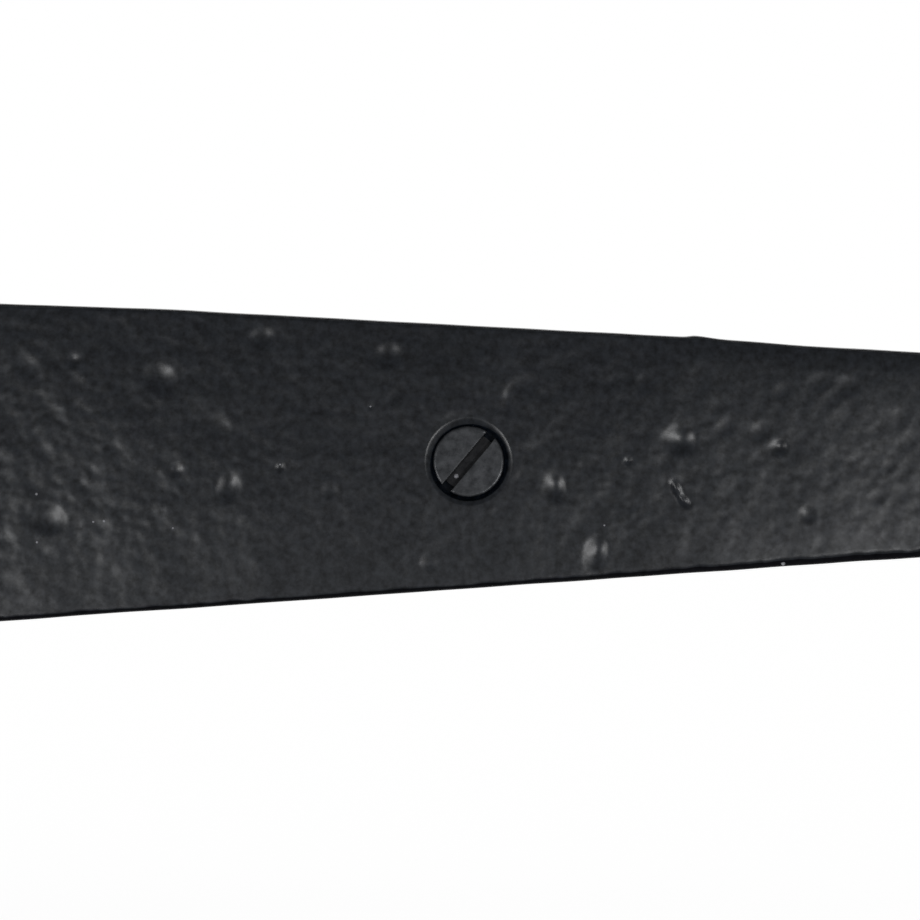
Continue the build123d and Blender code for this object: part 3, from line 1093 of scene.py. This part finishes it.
# %% Make the pin
PIN_RADIUS = 3.2 * MM
RIVET_RADIUS = 4.8 * MM
HAMMER_HEIGHT = 0.12 * MM
HAMMER_CELL = 1.6 * MM
HAMMER_SHEAR = 20  # how far the marks shift along x for the height on the dome
PIN_STEPS = 72
DOME_STEPS = 22
DOME_POWER = 3.2
DOME_ROOT = 0.625


def turned(radius, height):
    """A half profile carried round the pin: each ring has its own radius and height."""
    turn = np.arange(PIN_STEPS) * 2 * pi / PIN_STEPS
    x = pin_x + radius * np.cos(turn)
    y = pin_y + radius * np.sin(turn)
    return np.stack([x, y, np.broadcast_to(height, x.shape)], axis=-1)


def rivet_profile():
    """Radius and height over the barrel: out from the pin, then up a dome (1 - r^p)^q to its crown."""
    share = np.sin(np.linspace(pi / 2, 0, DOME_STEPS))
    dome = RIVET_HEIGHT * (1 - share**DOME_POWER) ** DOME_ROOT
    radius = np.concatenate([[PIN_RADIUS], RIVET_RADIUS * share])
    return radius[:, None], np.concatenate([[0.0], dome])[:, None]


def rivet(sign, seed):
    """The head above (1) or below (-1): a dome pressed in by noise, fully from half its height up."""
    radius, rise = rivet_profile()
    head = turned(radius, sign * (barrel_end + rise))
    x, y, z = head[..., 0], head[..., 1], head[..., 2]
    marks = swell(x + HAMMER_SHEAR * z, y, HAMMER_CELL, seed) * HAMMER_HEIGHT
    head[..., 2] -= sign * np.abs(marks) * np.minimum(rise / RIVET_HEIGHT * 2, 1)
    head[-1] = head[-1].mean(axis=0)
    return head


head, foot = rivet(1, SEEDS["upper rivet"]), rivet(-1, SEEDS["lower rivet"])
pin = make_piece("riveted_pin", [ring_block(np.concatenate([foot[::-1], head]))])

# %% [markdown]
# ## The screws
# Seven slotted countersunk wood screws hold the hinge, each left with its slot at its own angle. One mesh
# could be shared by all, but a finished piece has its place in its mesh, so each is made where it sits.

# %% Sizes of the screws
SCREW_LENGTH = 32.0 * MM
HEAD_RADIUS = 4.65 * MM
HEAD_LAND = 0.3 * MM
HEAD_TOP = 0.75 * MM  # depth below the face
HEAD_ROUND = 0.16 * MM
HEAD_ROUND_WIDTH = 0.40 * MM
SLOT_WIDTH = 1.4 * MM
SLOT_DEPTH = 1.1 * MM
SLOT_ROUND = 0.07 * MM
SHANK_RADIUS = 2.4 * MM
SHANK_LENGTH = 11.0 * MM
NECK_RADIUS = 2.6 * MM
NECK_LENGTH = 0.5 * MM
CORE_RADIUS = 1.75 * MM
POINT_LENGTH = 6.0 * MM
THREAD_PITCH = 1.95 * MM
strap_slots = [-18.0, 49.5, 76.0]  # degrees from +X, as are the plate's
plate_slots = [12.0, -38.0, 63.0, 104.0]
print(f"{len(strap_slots) + len(plate_slots)} screws, {SCREW_LENGTH / MM:.0f} mm long")

# %% [markdown]
# The slot is sawn across the head, and both its rims and the head's are slightly round. A boolean with a
# bevel would often fail on such small rounds. Here the slot parts the head into two halves whose grids
# follow it, so every round is a few rows of a grid.

# %% Head of a screw
HALF_STEPS = 28
SLOT_STEPS = 6
LIP_ROWS = 5  # down the slot's round
FACE_STEPS = 14
head_levels = [(SLOT_ROUND, HEAD_ROUND, 4), (HEAD_ROUND, HEAD_LAND, 1), (HEAD_LAND, SLOT_DEPTH, 6)]
lip_depths = SLOT_ROUND * (1 - np.cos(np.linspace(0, pi / 2, LIP_ROWS + 1)))
deeper = [np.linspace(start, stop, rows + 1)[1:] for start, stop, rows in head_levels]
head_depths = np.concatenate([lip_depths, *deeper])


def head_radius(depth):
    """Radius of the head at a depth: a quarter of an oval, a short land, then a 45 degree cone."""
    into_round = np.clip(1 - depth / HEAD_ROUND, 0, 1)
    rim = HEAD_RADIUS - HEAD_ROUND_WIDTH * (1 - np.sqrt(1 - into_round**2))
    return np.minimum(rim, HEAD_RADIUS - np.maximum(depth - HEAD_LAND, 0))


def slot_half(depth):
    """Half the slot's width at a depth, flared by a quarter circle at the top."""
    into_round = np.clip(1 - depth / SLOT_ROUND, 0, 1)
    return SLOT_WIDTH / 2 + SLOT_ROUND * (1 - np.sqrt(1 - into_round**2))


def head_half(sign):
    """One half of the head beside the slot: its outside, its face and the slot's wall.

    Every row is an arc of the head's circle, or its chord along the slot, at one depth. The face lies
    between the top rows of the two. The axes run along the slot, across it and down.
    """
    share = np.linspace(-1, 1, HALF_STEPS + 1)
    depth = head_depths[:, None]
    radius = head_radius(depth)
    half = slot_half(depth)
    start = np.arcsin(half / radius)
    turn = pi / 2 - share * (pi / 2 - start)
    down = np.broadcast_to(depth, turn.shape)
    outside = np.stack([radius * np.cos(turn), sign * radius * np.sin(turn), down], axis=-1)
    along = np.sqrt(radius**2 - half**2) * share
    wall = np.stack([along, np.broadcast_to(sign * half, along.shape), down], axis=-1)
    across = np.linspace(0, 1, FACE_STEPS + 1)[:, None, None]
    face = (1 - across) * wall[0] + across * outside[0]
    return [grid_block(outside), grid_block(face)], grid_block(wall)


def slot_floor():
    """The slot's floor between the two walls: chords of the head's circle at the slot's depth."""
    share = np.linspace(-1, 1, HALF_STEPS + 1)
    across = np.linspace(-1, 1, SLOT_STEPS + 1)[:, None] * slot_half(SLOT_DEPTH)
    along = np.sqrt(head_radius(SLOT_DEPTH) ** 2 - across**2) * share
    across = np.broadcast_to(across, along.shape)
    return grid_block(np.stack([along, across, np.full(along.shape, SLOT_DEPTH)], axis=-1))


print(len(head_depths), "rows from the head's top to the slot's floor")

# %% [markdown]
# Below the slot's floor the rings go right round: the cone, a short neck, the plain shank, the thread
# and the point. A helix could be swept as a ridge of its own and joined on, but a ring whose radius
# depends on both depth and turn gives the same thread as one skin, which runs out cleanly at both ends.

# %% Shank and thread of a screw
THREAD_ROWS = 12  # for each turn
CONE_RING = 1.8 * MM  # depths of two rings between the bends of the profile
SHANK_RING = 6.0 * MM
RUN_OUT = 0.7 * MM  # length over which the shank narrows to the thread's core
RIDGE_WIDTH = 0.3  # half of the thread's foot, as a share of the pitch
RIDGE_POWER = 1.2


def ring_turns():
    """Angles round the screw that match the head's halves and the slot's two ends."""
    end = np.arcsin(slot_half(SLOT_DEPTH) / head_radius(SLOT_DEPTH))
    half = np.linspace(end, pi - end, HALF_STEPS + 1)[:-1]
    across = np.linspace(-1, 1, SLOT_STEPS + 1) * slot_half(SLOT_DEPTH)
    cap = np.arcsin(across / head_radius(SLOT_DEPTH))[:-1]
    return np.concatenate([cap, half, pi + cap, pi + half])


def shank_block():
    """Rings down to the point: a radius read from the depth, plus a ridge that climbs with the turn."""
    neck_depth = HEAD_LAND + HEAD_RADIUS - NECK_RADIUS
    plain = [SLOT_DEPTH, CONE_RING, neck_depth, neck_depth + NECK_LENGTH, SHANK_RING]
    thread = np.arange(SHANK_LENGTH, SCREW_LENGTH, THREAD_PITCH / THREAD_ROWS)
    depth = np.concatenate([plain, thread, [SCREW_LENGTH]])[:, None]
    knots = [SLOT_DEPTH, neck_depth, neck_depth + NECK_LENGTH, SHANK_LENGTH]
    knots += [SHANK_LENGTH + RUN_OUT, SCREW_LENGTH - POINT_LENGTH, SCREW_LENGTH]
    radii = [head_radius(SLOT_DEPTH), NECK_RADIUS, SHANK_RADIUS, SHANK_RADIUS]
    radii += [CORE_RADIUS, CORE_RADIUS, 0]
    core = np.interp(depth, knots, radii)
    turn = ring_turns()
    phase = np.mod(depth / THREAD_PITCH + turn / (2 * pi), 1)
    ridge = np.clip(1 - np.abs(phase - 0.5) / RIDGE_WIDTH, 0, 1) ** RIDGE_POWER
    full = SHANK_RADIUS - CORE_RADIUS
    crest = np.interp(depth, [SHANK_LENGTH, SHANK_LENGTH + THREAD_PITCH], [0, full])
    crest = crest * np.sqrt(np.clip((SCREW_LENGTH - depth) / POINT_LENGTH, 0, 1))
    radius = core + crest * ridge
    down = np.broadcast_to(depth, radius.shape)
    return ring_block(np.stack([radius * np.cos(turn), radius * np.sin(turn), down], axis=-1))


print(len(ring_turns()), "points round a ring")

# %% [markdown]
# A screw is turned by its slot's angle and set in its seat, its head just below the face. Turning and
# moving the object would be the usual way, but the export puts every object at the origin, where its paint
# pattern would slide, so the points are moved. The middle screw has a small pale grain in its slot.

# %% Make the screws
SLOT_GRAIN = (-2.5 * MM, 0.0, SLOT_DEPTH)
SLOT_GRAIN_RADIUS = 0.32 * MM


def wood_screw(name, place, slot_angle, grains=()):
    """One screw in its hole: its own axes turned by the slot's angle and moved to its place."""
    (upper, upper_wall), (lower, lower_wall) = head_half(1), head_half(-1)
    # the slot's walls and floor wear the second material, a matt copy of the paint that paints the shade
    # in the slot
    finishes = [[*upper, *lower, shank_block()], [upper_wall, lower_wall, slot_floor()], grains]
    turn = radians(slot_angle)
    along = np.array([cos(turn), 0.0, sin(turn)])
    across = np.array([-sin(turn), 0.0, cos(turn)])
    axes = np.stack([along, across, np.array([0.0, 1.0, 0.0])])
    top = np.array([place[0], HEAD_TOP - LEAF_THICKNESS, place[1]])
    placed = [[(top + points @ axes, quads) for points, quads in part] for part in finishes]
    return make_piece(name, *placed)


grain_points, grain_quads = grain_block(SLOT_GRAIN_RADIUS, SLOT_GRAIN_RADIUS * GRAIN_FLATNESS)
slot_grains = [[], [(grain_points + np.array(SLOT_GRAIN), grain_quads)], []]
strap_screws = [
    wood_screw(f"strap_screw_{number}", place, angle, grains)
    for number, (place, angle, grains) in enumerate(zip(strap_places, strap_slots, slot_grains), 1)
]
plate_screws = [
    wood_screw(f"plate_screw_{number}", place, angle)
    for number, (place, angle) in enumerate(zip(plate_places, plate_slots), 1)
]

# %% [markdown]
# ## Black paint over iron
# All the pieces wear black paint. Over rough iron it is mottled: its tone and its gloss change over a
# millimetre or so, its roughness in slow patches, and a fine grain lies on its skin. An image could hold
# all that, but noise on Object coordinates needs no unwrapping and never repeats. As every material uses
# it, it is a node group, built once.

# %% Helpers for nodes
NOISE_MIDDLE = (0.3, 0.7)  # most of a noise texture's values


def new_node(tree, kind, place, **settings):
    """A node at a place, with its plain settings."""
    node = tree.nodes.new(kind)
    node.location = place
    for key, value in settings.items():
        setattr(node, key, value)
    return node


def noise_node(tree, where, place, detail, roughness):
    """A noise texture on Object coordinates."""
    noise = new_node(tree, "ShaderNodeTexNoise", place)
    noise.inputs["Detail"].default_value = detail
    noise.inputs["Roughness"].default_value = roughness
    tree.links.new(where.outputs["Object"], noise.inputs["Vector"])
    return noise


def spread_node(tree, noise, place, low=None, high=None):
    """The middle of a noise's range spread from low to high, or from 0 to 1."""
    spread = new_node(tree, "ShaderNodeMapRange", place)
    spread.inputs["From Min"].default_value = NOISE_MIDDLE[0]
    spread.inputs["From Max"].default_value = NOISE_MIDDLE[1]
    tree.links.new(noise.outputs["Fac"], spread.inputs["Value"])
    for end, socket in (("To Min", low), ("To Max", high)):
        if socket is not None:
            tree.links.new(socket, spread.inputs[end])
    return spread.outputs["Result"]


print("noise is spread from", NOISE_MIDDLE)

# %% Paint group
PATCH_SCALE = 70.0


def paint_group():
    """Tone and gloss from a fine mottle, roughness from slow patches and height from a grain."""
    group = bpy.data.node_groups.new("black_paint", "ShaderNodeTree")
    for label, kind in (
        ("Dark", "NodeSocketColor"),
        ("Light", "NodeSocketColor"),
        ("Mottle Scale", "NodeSocketFloat"),
        ("Grain Scale", "NodeSocketFloat"),
        ("Smoothest", "NodeSocketFloat"),
        ("Roughest", "NodeSocketFloat"),
        ("Least Gloss", "NodeSocketFloat"),
        ("Most Gloss", "NodeSocketFloat"),
    ):
        group.interface.new_socket(label, in_out="INPUT", socket_type=kind)
    group.interface.new_socket("Color", in_out="OUTPUT", socket_type="NodeSocketColor")
    for label in ("Roughness", "Gloss", "Height"):
        group.interface.new_socket(label, in_out="OUTPUT", socket_type="NodeSocketFloat")
    start = new_node(group, "NodeGroupInput", (-900, 0))
    stop = new_node(group, "NodeGroupOutput", (500, 0))
    where = new_node(group, "ShaderNodeTexCoord", (-900, -300))
    patches = noise_node(group, where, (-600, 300), detail=3.0, roughness=0.5)
    patches.inputs["Scale"].default_value = PATCH_SCALE
    mottle = noise_node(group, where, (-600, 0), detail=3.0, roughness=0.6)
    group.links.new(start.outputs["Mottle Scale"], mottle.inputs["Scale"])
    grain = noise_node(group, where, (-600, -300), detail=2.0, roughness=0.4)
    group.links.new(start.outputs["Grain Scale"], grain.inputs["Scale"])
    tone = new_node(group, "ShaderNodeMix", (-200, 300), data_type="RGBA")
    group.links.new(spread_node(group, mottle, (-400, 300)), tone.inputs["Factor"])
    group.links.new(start.outputs["Dark"], tone.inputs["A"])
    group.links.new(start.outputs["Light"], tone.inputs["B"])
    least, most = start.outputs["Smoothest"], start.outputs["Roughest"]
    rough = spread_node(group, patches, (0, 0), least, most)
    least, most = start.outputs["Least Gloss"], start.outputs["Most Gloss"]
    gloss = spread_node(group, mottle, (0, -300), least, most)
    group.links.new(tone.outputs["Result"], stop.inputs["Color"])
    group.links.new(rough, stop.inputs["Roughness"])
    group.links.new(gloss, stop.inputs["Gloss"])
    group.links.new(grain.outputs["Fac"], stop.inputs["Height"])
    return group


black_paint = paint_group()
print("paint group with", len(black_paint.nodes), "nodes")

# %% [markdown]
# Each material is one Principled shader with the group's colour, roughness and gloss. The gloss is a thin
# coat over duller paint: a single roughness could be set between the two, but a satin skin over a dark
# ground gives both the soft sheen of the faces and the bright lips of the dents.

# %% Painted material
COOL_SHEEN = (0.90, 0.94, 1.0, 1)
GLOSS_ROUGHNESS = 0.28


def painted(name, specular, bump_distance, **paint_values):
    """A Principled material that wears the paint group, its grain as bump and its gloss as a coat."""
    material = bpy.data.materials.new(name)
    material.use_nodes = True
    tree = material.node_tree
    shader = tree.nodes["Principled BSDF"]
    shader.inputs["Specular IOR Level"].default_value = specular
    shader.inputs["Specular Tint"].default_value = COOL_SHEEN
    shader.inputs["Coat Roughness"].default_value = GLOSS_ROUGHNESS
    paint = new_node(tree, "ShaderNodeGroup", (-600, 0), node_tree=black_paint)
    for label, value in paint_values.items():
        paint.inputs[label.replace("_", " ").title()].default_value = value
    bump = new_node(tree, "ShaderNodeBump", (-300, -200))
    bump.inputs["Distance"].default_value = bump_distance
    tree.links.new(paint.outputs["Height"], bump.inputs["Height"])
    tree.links.new(bump.outputs["Normal"], shader.inputs["Normal"])
    tree.links.new(paint.outputs["Color"], shader.inputs["Base Color"])
    tree.links.new(paint.outputs["Roughness"], shader.inputs["Roughness"])
    tree.links.new(paint.outputs["Gloss"], shader.inputs["Coat Weight"])
    return material


print("coat roughness", GLOSS_ROUGHNESS)

# %% [markdown]
# The faces of the castings are satin, and a matt copy of their paint on the lower rounds and walls paints
# the shade there. The screws are smoother and a little paler, and a matt copy of their paint in the slots
# paints the shade in them. The pin is plainer, and the small grains are pale grey, a grey that paints
# their glints. One paint for all would do from afar, but close up these differences part the pieces from
# each other.

# %% Materials
satin_casting = painted(
    "satin_casting",
    specular=0.02,
    bump_distance=0.10 * MM,
    dark=(0.0002, 0.0005, 0.0010, 1),
    light=(0.0018, 0.0029, 0.0049, 1),
    mottle_scale=1100.0,
    grain_scale=800.0,
    smoothest=0.33,
    roughest=0.41,
    least_gloss=0.155,
    most_gloss=0.29,
)
# a matt copy of the casting paint, worn where it paints the shade on the edges
dull_shade_casting = painted(
    "dull_shade_casting",
    specular=0.02,
    bump_distance=0.05 * MM,
    dark=(0.0008, 0.0008, 0.0012, 1),
    light=(0.0022, 0.0022, 0.0028, 1),
    mottle_scale=1100.0,
    grain_scale=800.0,
    smoothest=0.70,
    roughest=0.85,
)
satin_screw = painted(
    "satin_screw",
    specular=0.12,
    bump_distance=0.06 * MM,
    dark=(0.0004, 0.0006, 0.0010, 1),
    light=(0.0122, 0.0131, 0.0150, 1),
    mottle_scale=750.0,
    grain_scale=1000.0,
    smoothest=0.32,
    roughest=0.40,
    least_gloss=0.02,
    most_gloss=0.20,
)
# a matt copy of the screw paint, worn in the slots where it paints the shade
dull_shade_screw = painted(
    "dull_shade_screw",
    specular=0.06,
    bump_distance=0.05 * MM,
    dark=(0.0030, 0.0030, 0.0034, 1),
    light=(0.0110, 0.0110, 0.0116, 1),
    mottle_scale=1100.0,
    grain_scale=1500.0,
    smoothest=0.60,
    roughest=0.75,
)
satin_pin = painted(
    "satin_pin",
    specular=0.10,
    bump_distance=0.03 * MM,
    dark=(0.0030, 0.0031, 0.0034, 1),
    light=(0.0080, 0.0082, 0.0087, 1),
    mottle_scale=1100.0,
    grain_scale=1200.0,
    smoothest=0.34,
    roughest=0.42,
    least_gloss=0.06,
    most_gloss=0.16,
)
# pale grains: small specks whose pale grey paints the glints on the black paint
glint_grit = painted(
    "glint_grit",
    specular=0.3,
    bump_distance=0.02 * MM,
    dark=(0.05, 0.05, 0.055, 1),
    light=(0.13, 0.13, 0.14, 1),
    mottle_scale=3000.0,
    grain_scale=3000.0,
    smoothest=0.4,
    roughest=0.6,
)
print("materials:", [material.name for material in bpy.data.materials])

# %% [markdown]
# ## Everything on its body
# On the real hinge the strap carries its own screws as it swings, and the plate keeps its screws and the
# riveted pin. So each piece is parented to its body's empty, and the solid that it replaces is hidden.

# %% Ride and replace


def dress(piece, body, node, slot, *materials):
    """A piece stands for its node, rides on its body and wears its materials."""
    for material in materials:
        piece.data.materials.append(material)
    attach(piece, body)
    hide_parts(node)


dress(strap, "strap", "strap_leaf", "black_casting", satin_casting, dull_shade_casting, glint_grit)
dress(plate, "plate", "plate_leaf", "black_casting", satin_casting, dull_shade_casting)
dress(pin, "plate", "hinge_pin", "black_pin", satin_pin)
for screw in strap_screws:
    dress(screw, "strap", "strap_screws", "black_screw", satin_screw, dull_shade_screw, glint_grit)
for screw in plate_screws:
    dress(screw, "plate", "plate_screws", "black_screw", satin_screw, dull_shade_screw)
print("dressed", 3 + len(strap_screws) + len(plate_screws), "pieces")

# %% [markdown]
# ## Floor, light and camera
# The hinge hangs over a pale floor in a white room. A curved backdrop is the usual way, but a wide flat
# disc looks the same from every side.

# %% Floor
FLOOR_GAP = 1.0 * MM
FLOOR_RADIUS = 9.0
FLOOR_STEPS = 64
FLOOR_GLOW = 0.67
floor_values = {
    "Base Color": (0.86, 0.86, 0.86, 1),
    "Roughness": 0.9,
    "Specular IOR Level": 0.0,
    "Emission Color": (1, 1, 1, 1),
    "Emission Strength": FLOOR_GLOW,
}


def floor_disc():
    """A flat round floor: two rings, the inner one shrunk to the middle, under the hinge."""
    middle = (cad_low + cad_high) / 2
    turn = np.arange(FLOOR_STEPS) * 2 * pi / FLOOR_STEPS
    radius = np.array([[0.0], [FLOOR_RADIUS]])
    x = middle.x + radius * np.cos(turn)
    y = middle.y + radius * np.sin(turn)
    return np.stack([x, y, np.full(x.shape, cad_low.z - FLOOR_GAP)], axis=-1)


floor = make_piece("floor", [ring_block(floor_disc())])
pale = bpy.data.materials.new("pale_floor")
pale.use_nodes = True
for label, value in floor_values.items():
    pale.node_tree.nodes["Principled BSDF"].inputs[label].default_value = value
floor.data.materials.append(pale)
floor.visible_shadow = False

# %% [markdown]
# The room is white to look at, but a white world would flood the black paint with light. So the Light
# Path node makes it white for the camera and in reflections, and dim for everything else.

# %% World
AMBIENT = 0.15


def white_room():
    """White to the camera and to reflections, a plain soft light to everything else."""
    world = bpy.data.worlds.new("white_room")
    world.use_nodes = True
    tree = world.node_tree
    light = tree.nodes["Background"]
    light.inputs["Color"].default_value = (1, 1, 1, 1)
    ray = new_node(tree, "ShaderNodeLightPath", (-800, 0))
    seen = new_node(tree, "ShaderNodeMath", (-600, 0), operation="MAXIMUM")
    seen_all = new_node(tree, "ShaderNodeMath", (-400, 0), operation="MAXIMUM")
    strength = new_node(tree, "ShaderNodeMapRange", (-200, 0))
    tree.links.new(ray.outputs["Is Camera Ray"], seen.inputs[0])
    tree.links.new(ray.outputs["Is Glossy Ray"], seen.inputs[1])
    tree.links.new(seen.outputs["Value"], seen_all.inputs[0])
    tree.links.new(ray.outputs["Is Transmission Ray"], seen_all.inputs[1])
    tree.links.new(seen_all.outputs["Value"], strength.inputs["Value"])
    strength.inputs["To Min"].default_value = AMBIENT
    strength.inputs["To Max"].default_value = 1.0
    tree.links.new(strength.outputs["Result"], light.inputs["Strength"])
    return world


scene = bpy.context.scene
scene.world = white_room()
scene.view_settings.view_transform = "Standard"
print("world:", scene.world.name)

# %% [markdown]
# Two soft lamps stand in front, low on the left and low on the right: their reflections make the pair of
# bright lips above each dent. Two more stand behind in the same way, so that the back, and the strap
# swung round, show their surfaces too. A wide sun from above lights the upper edges. A picture of a
# studio on the world could light it all as well, but lamps can be set one by one.

# %% Lamps
LAMP_DISTANCE = 0.80
LAMP_LIGHT = 1.5  # light that each lamp in front lays on the strap's face
BACK_DISTANCE = 1.6
BACK_LIGHT = 1.2  # the same for the lamps behind
LAMP_SPREAD = 0.175  # side of a lamp for each metre that it stands away
SUN_LIGHT = 0.75
SUN_SPREAD = radians(40.0)
SUN_WAY = (0.05, 0.25, 1.0)
photo_middle = Vector((screw_x, -LEAF_THICKNESS, screw_z))
soft_lamps = {
    "low_left_lamp": ((-0.365, -0.91, -0.19), LAMP_DISTANCE, LAMP_LIGHT),
    "low_right_lamp": ((0.305, -0.93, -0.19), LAMP_DISTANCE, LAMP_LIGHT),
    "back_left_lamp": ((-0.365, 0.91, -0.19), BACK_DISTANCE, BACK_LIGHT),
    "back_right_lamp": ((0.305, 0.93, -0.19), BACK_DISTANCE, BACK_LIGHT),
}


def hung(name, data, way, distance):
    """A lamp hung at a distance along a way from the photo's middle, facing it."""
    lamp = bpy.data.objects.new(name, data)
    way = Vector(way).normalized()
    turn = way.to_track_quat("Z", "Y").to_matrix().to_4x4()
    lamp.matrix_world = Matrix.Translation(photo_middle + way * distance) @ turn
    lamp.visible_camera = False
    bpy.context.collection.objects.link(lamp)
    return lamp


def soft_lamp(name, way, distance, light):
    """A square soft box whose watts are pi E d^2 / cos, for light E on a face at a distance d."""
    data = bpy.data.lights.new(name, "AREA")
    data.shape = "SQUARE"
    data.size = LAMP_SPREAD * distance
    facing = abs(Vector(way).normalized().y)
    data.energy = pi * light * distance**2 / facing
    data.cycles.use_multiple_importance_sampling = False
    return hung(name, data, way, distance)


for lamp_name, lamp_values in soft_lamps.items():
    soft_lamp(lamp_name, *lamp_values)
sky = bpy.data.lights.new("sky_lamp", "SUN")
sky.energy = SUN_LIGHT
sky.angle = SUN_SPREAD
hung("sky_lamp", sky, SUN_WAY, 1.0)
print("lamps:", [lamp.name for lamp in bpy.data.lights])

# %% [markdown]
# The camera looks straight along +Y at the strap's face, rolled by the small angle at which the strap
# lies in the photo. An orthographic camera would come close, but a long lens also shows a little of the
# edges.

# %% Camera
LENS = 150.0
SENSOR = 36.0
NEAR_CLIP = 10.0 * MM


def photo_camera():
    """A camera whose frame is the photo's width at the strap's face."""
    data = bpy.data.cameras.new("photo_camera")
    data.lens = LENS
    data.sensor_width = SENSOR
    right = Vector((cos(PHOTO_ROLL), 0, -sin(PHOTO_ROLL)))
    up = Vector((sin(PHOTO_ROLL), 0, cos(PHOTO_ROLL)))
    back = Vector((0, -1, 0))
    centre = photo_middle + right * PHOTO_CENTRE[0] + up * PHOTO_CENTRE[1]
    place = centre + back * (PHOTO_WIDTH * LENS / SENSOR)
    camera = bpy.data.objects.new("photo_camera", data)
    camera.matrix_world = Matrix.Translation(place) @ Matrix((right, up, back)).transposed().to_4x4()
    data.clip_start = NEAR_CLIP
    bpy.context.collection.objects.link(camera)
    return camera


scene.camera = photo_camera()
print("camera at", [round(v, 3) for v in scene.camera.location])
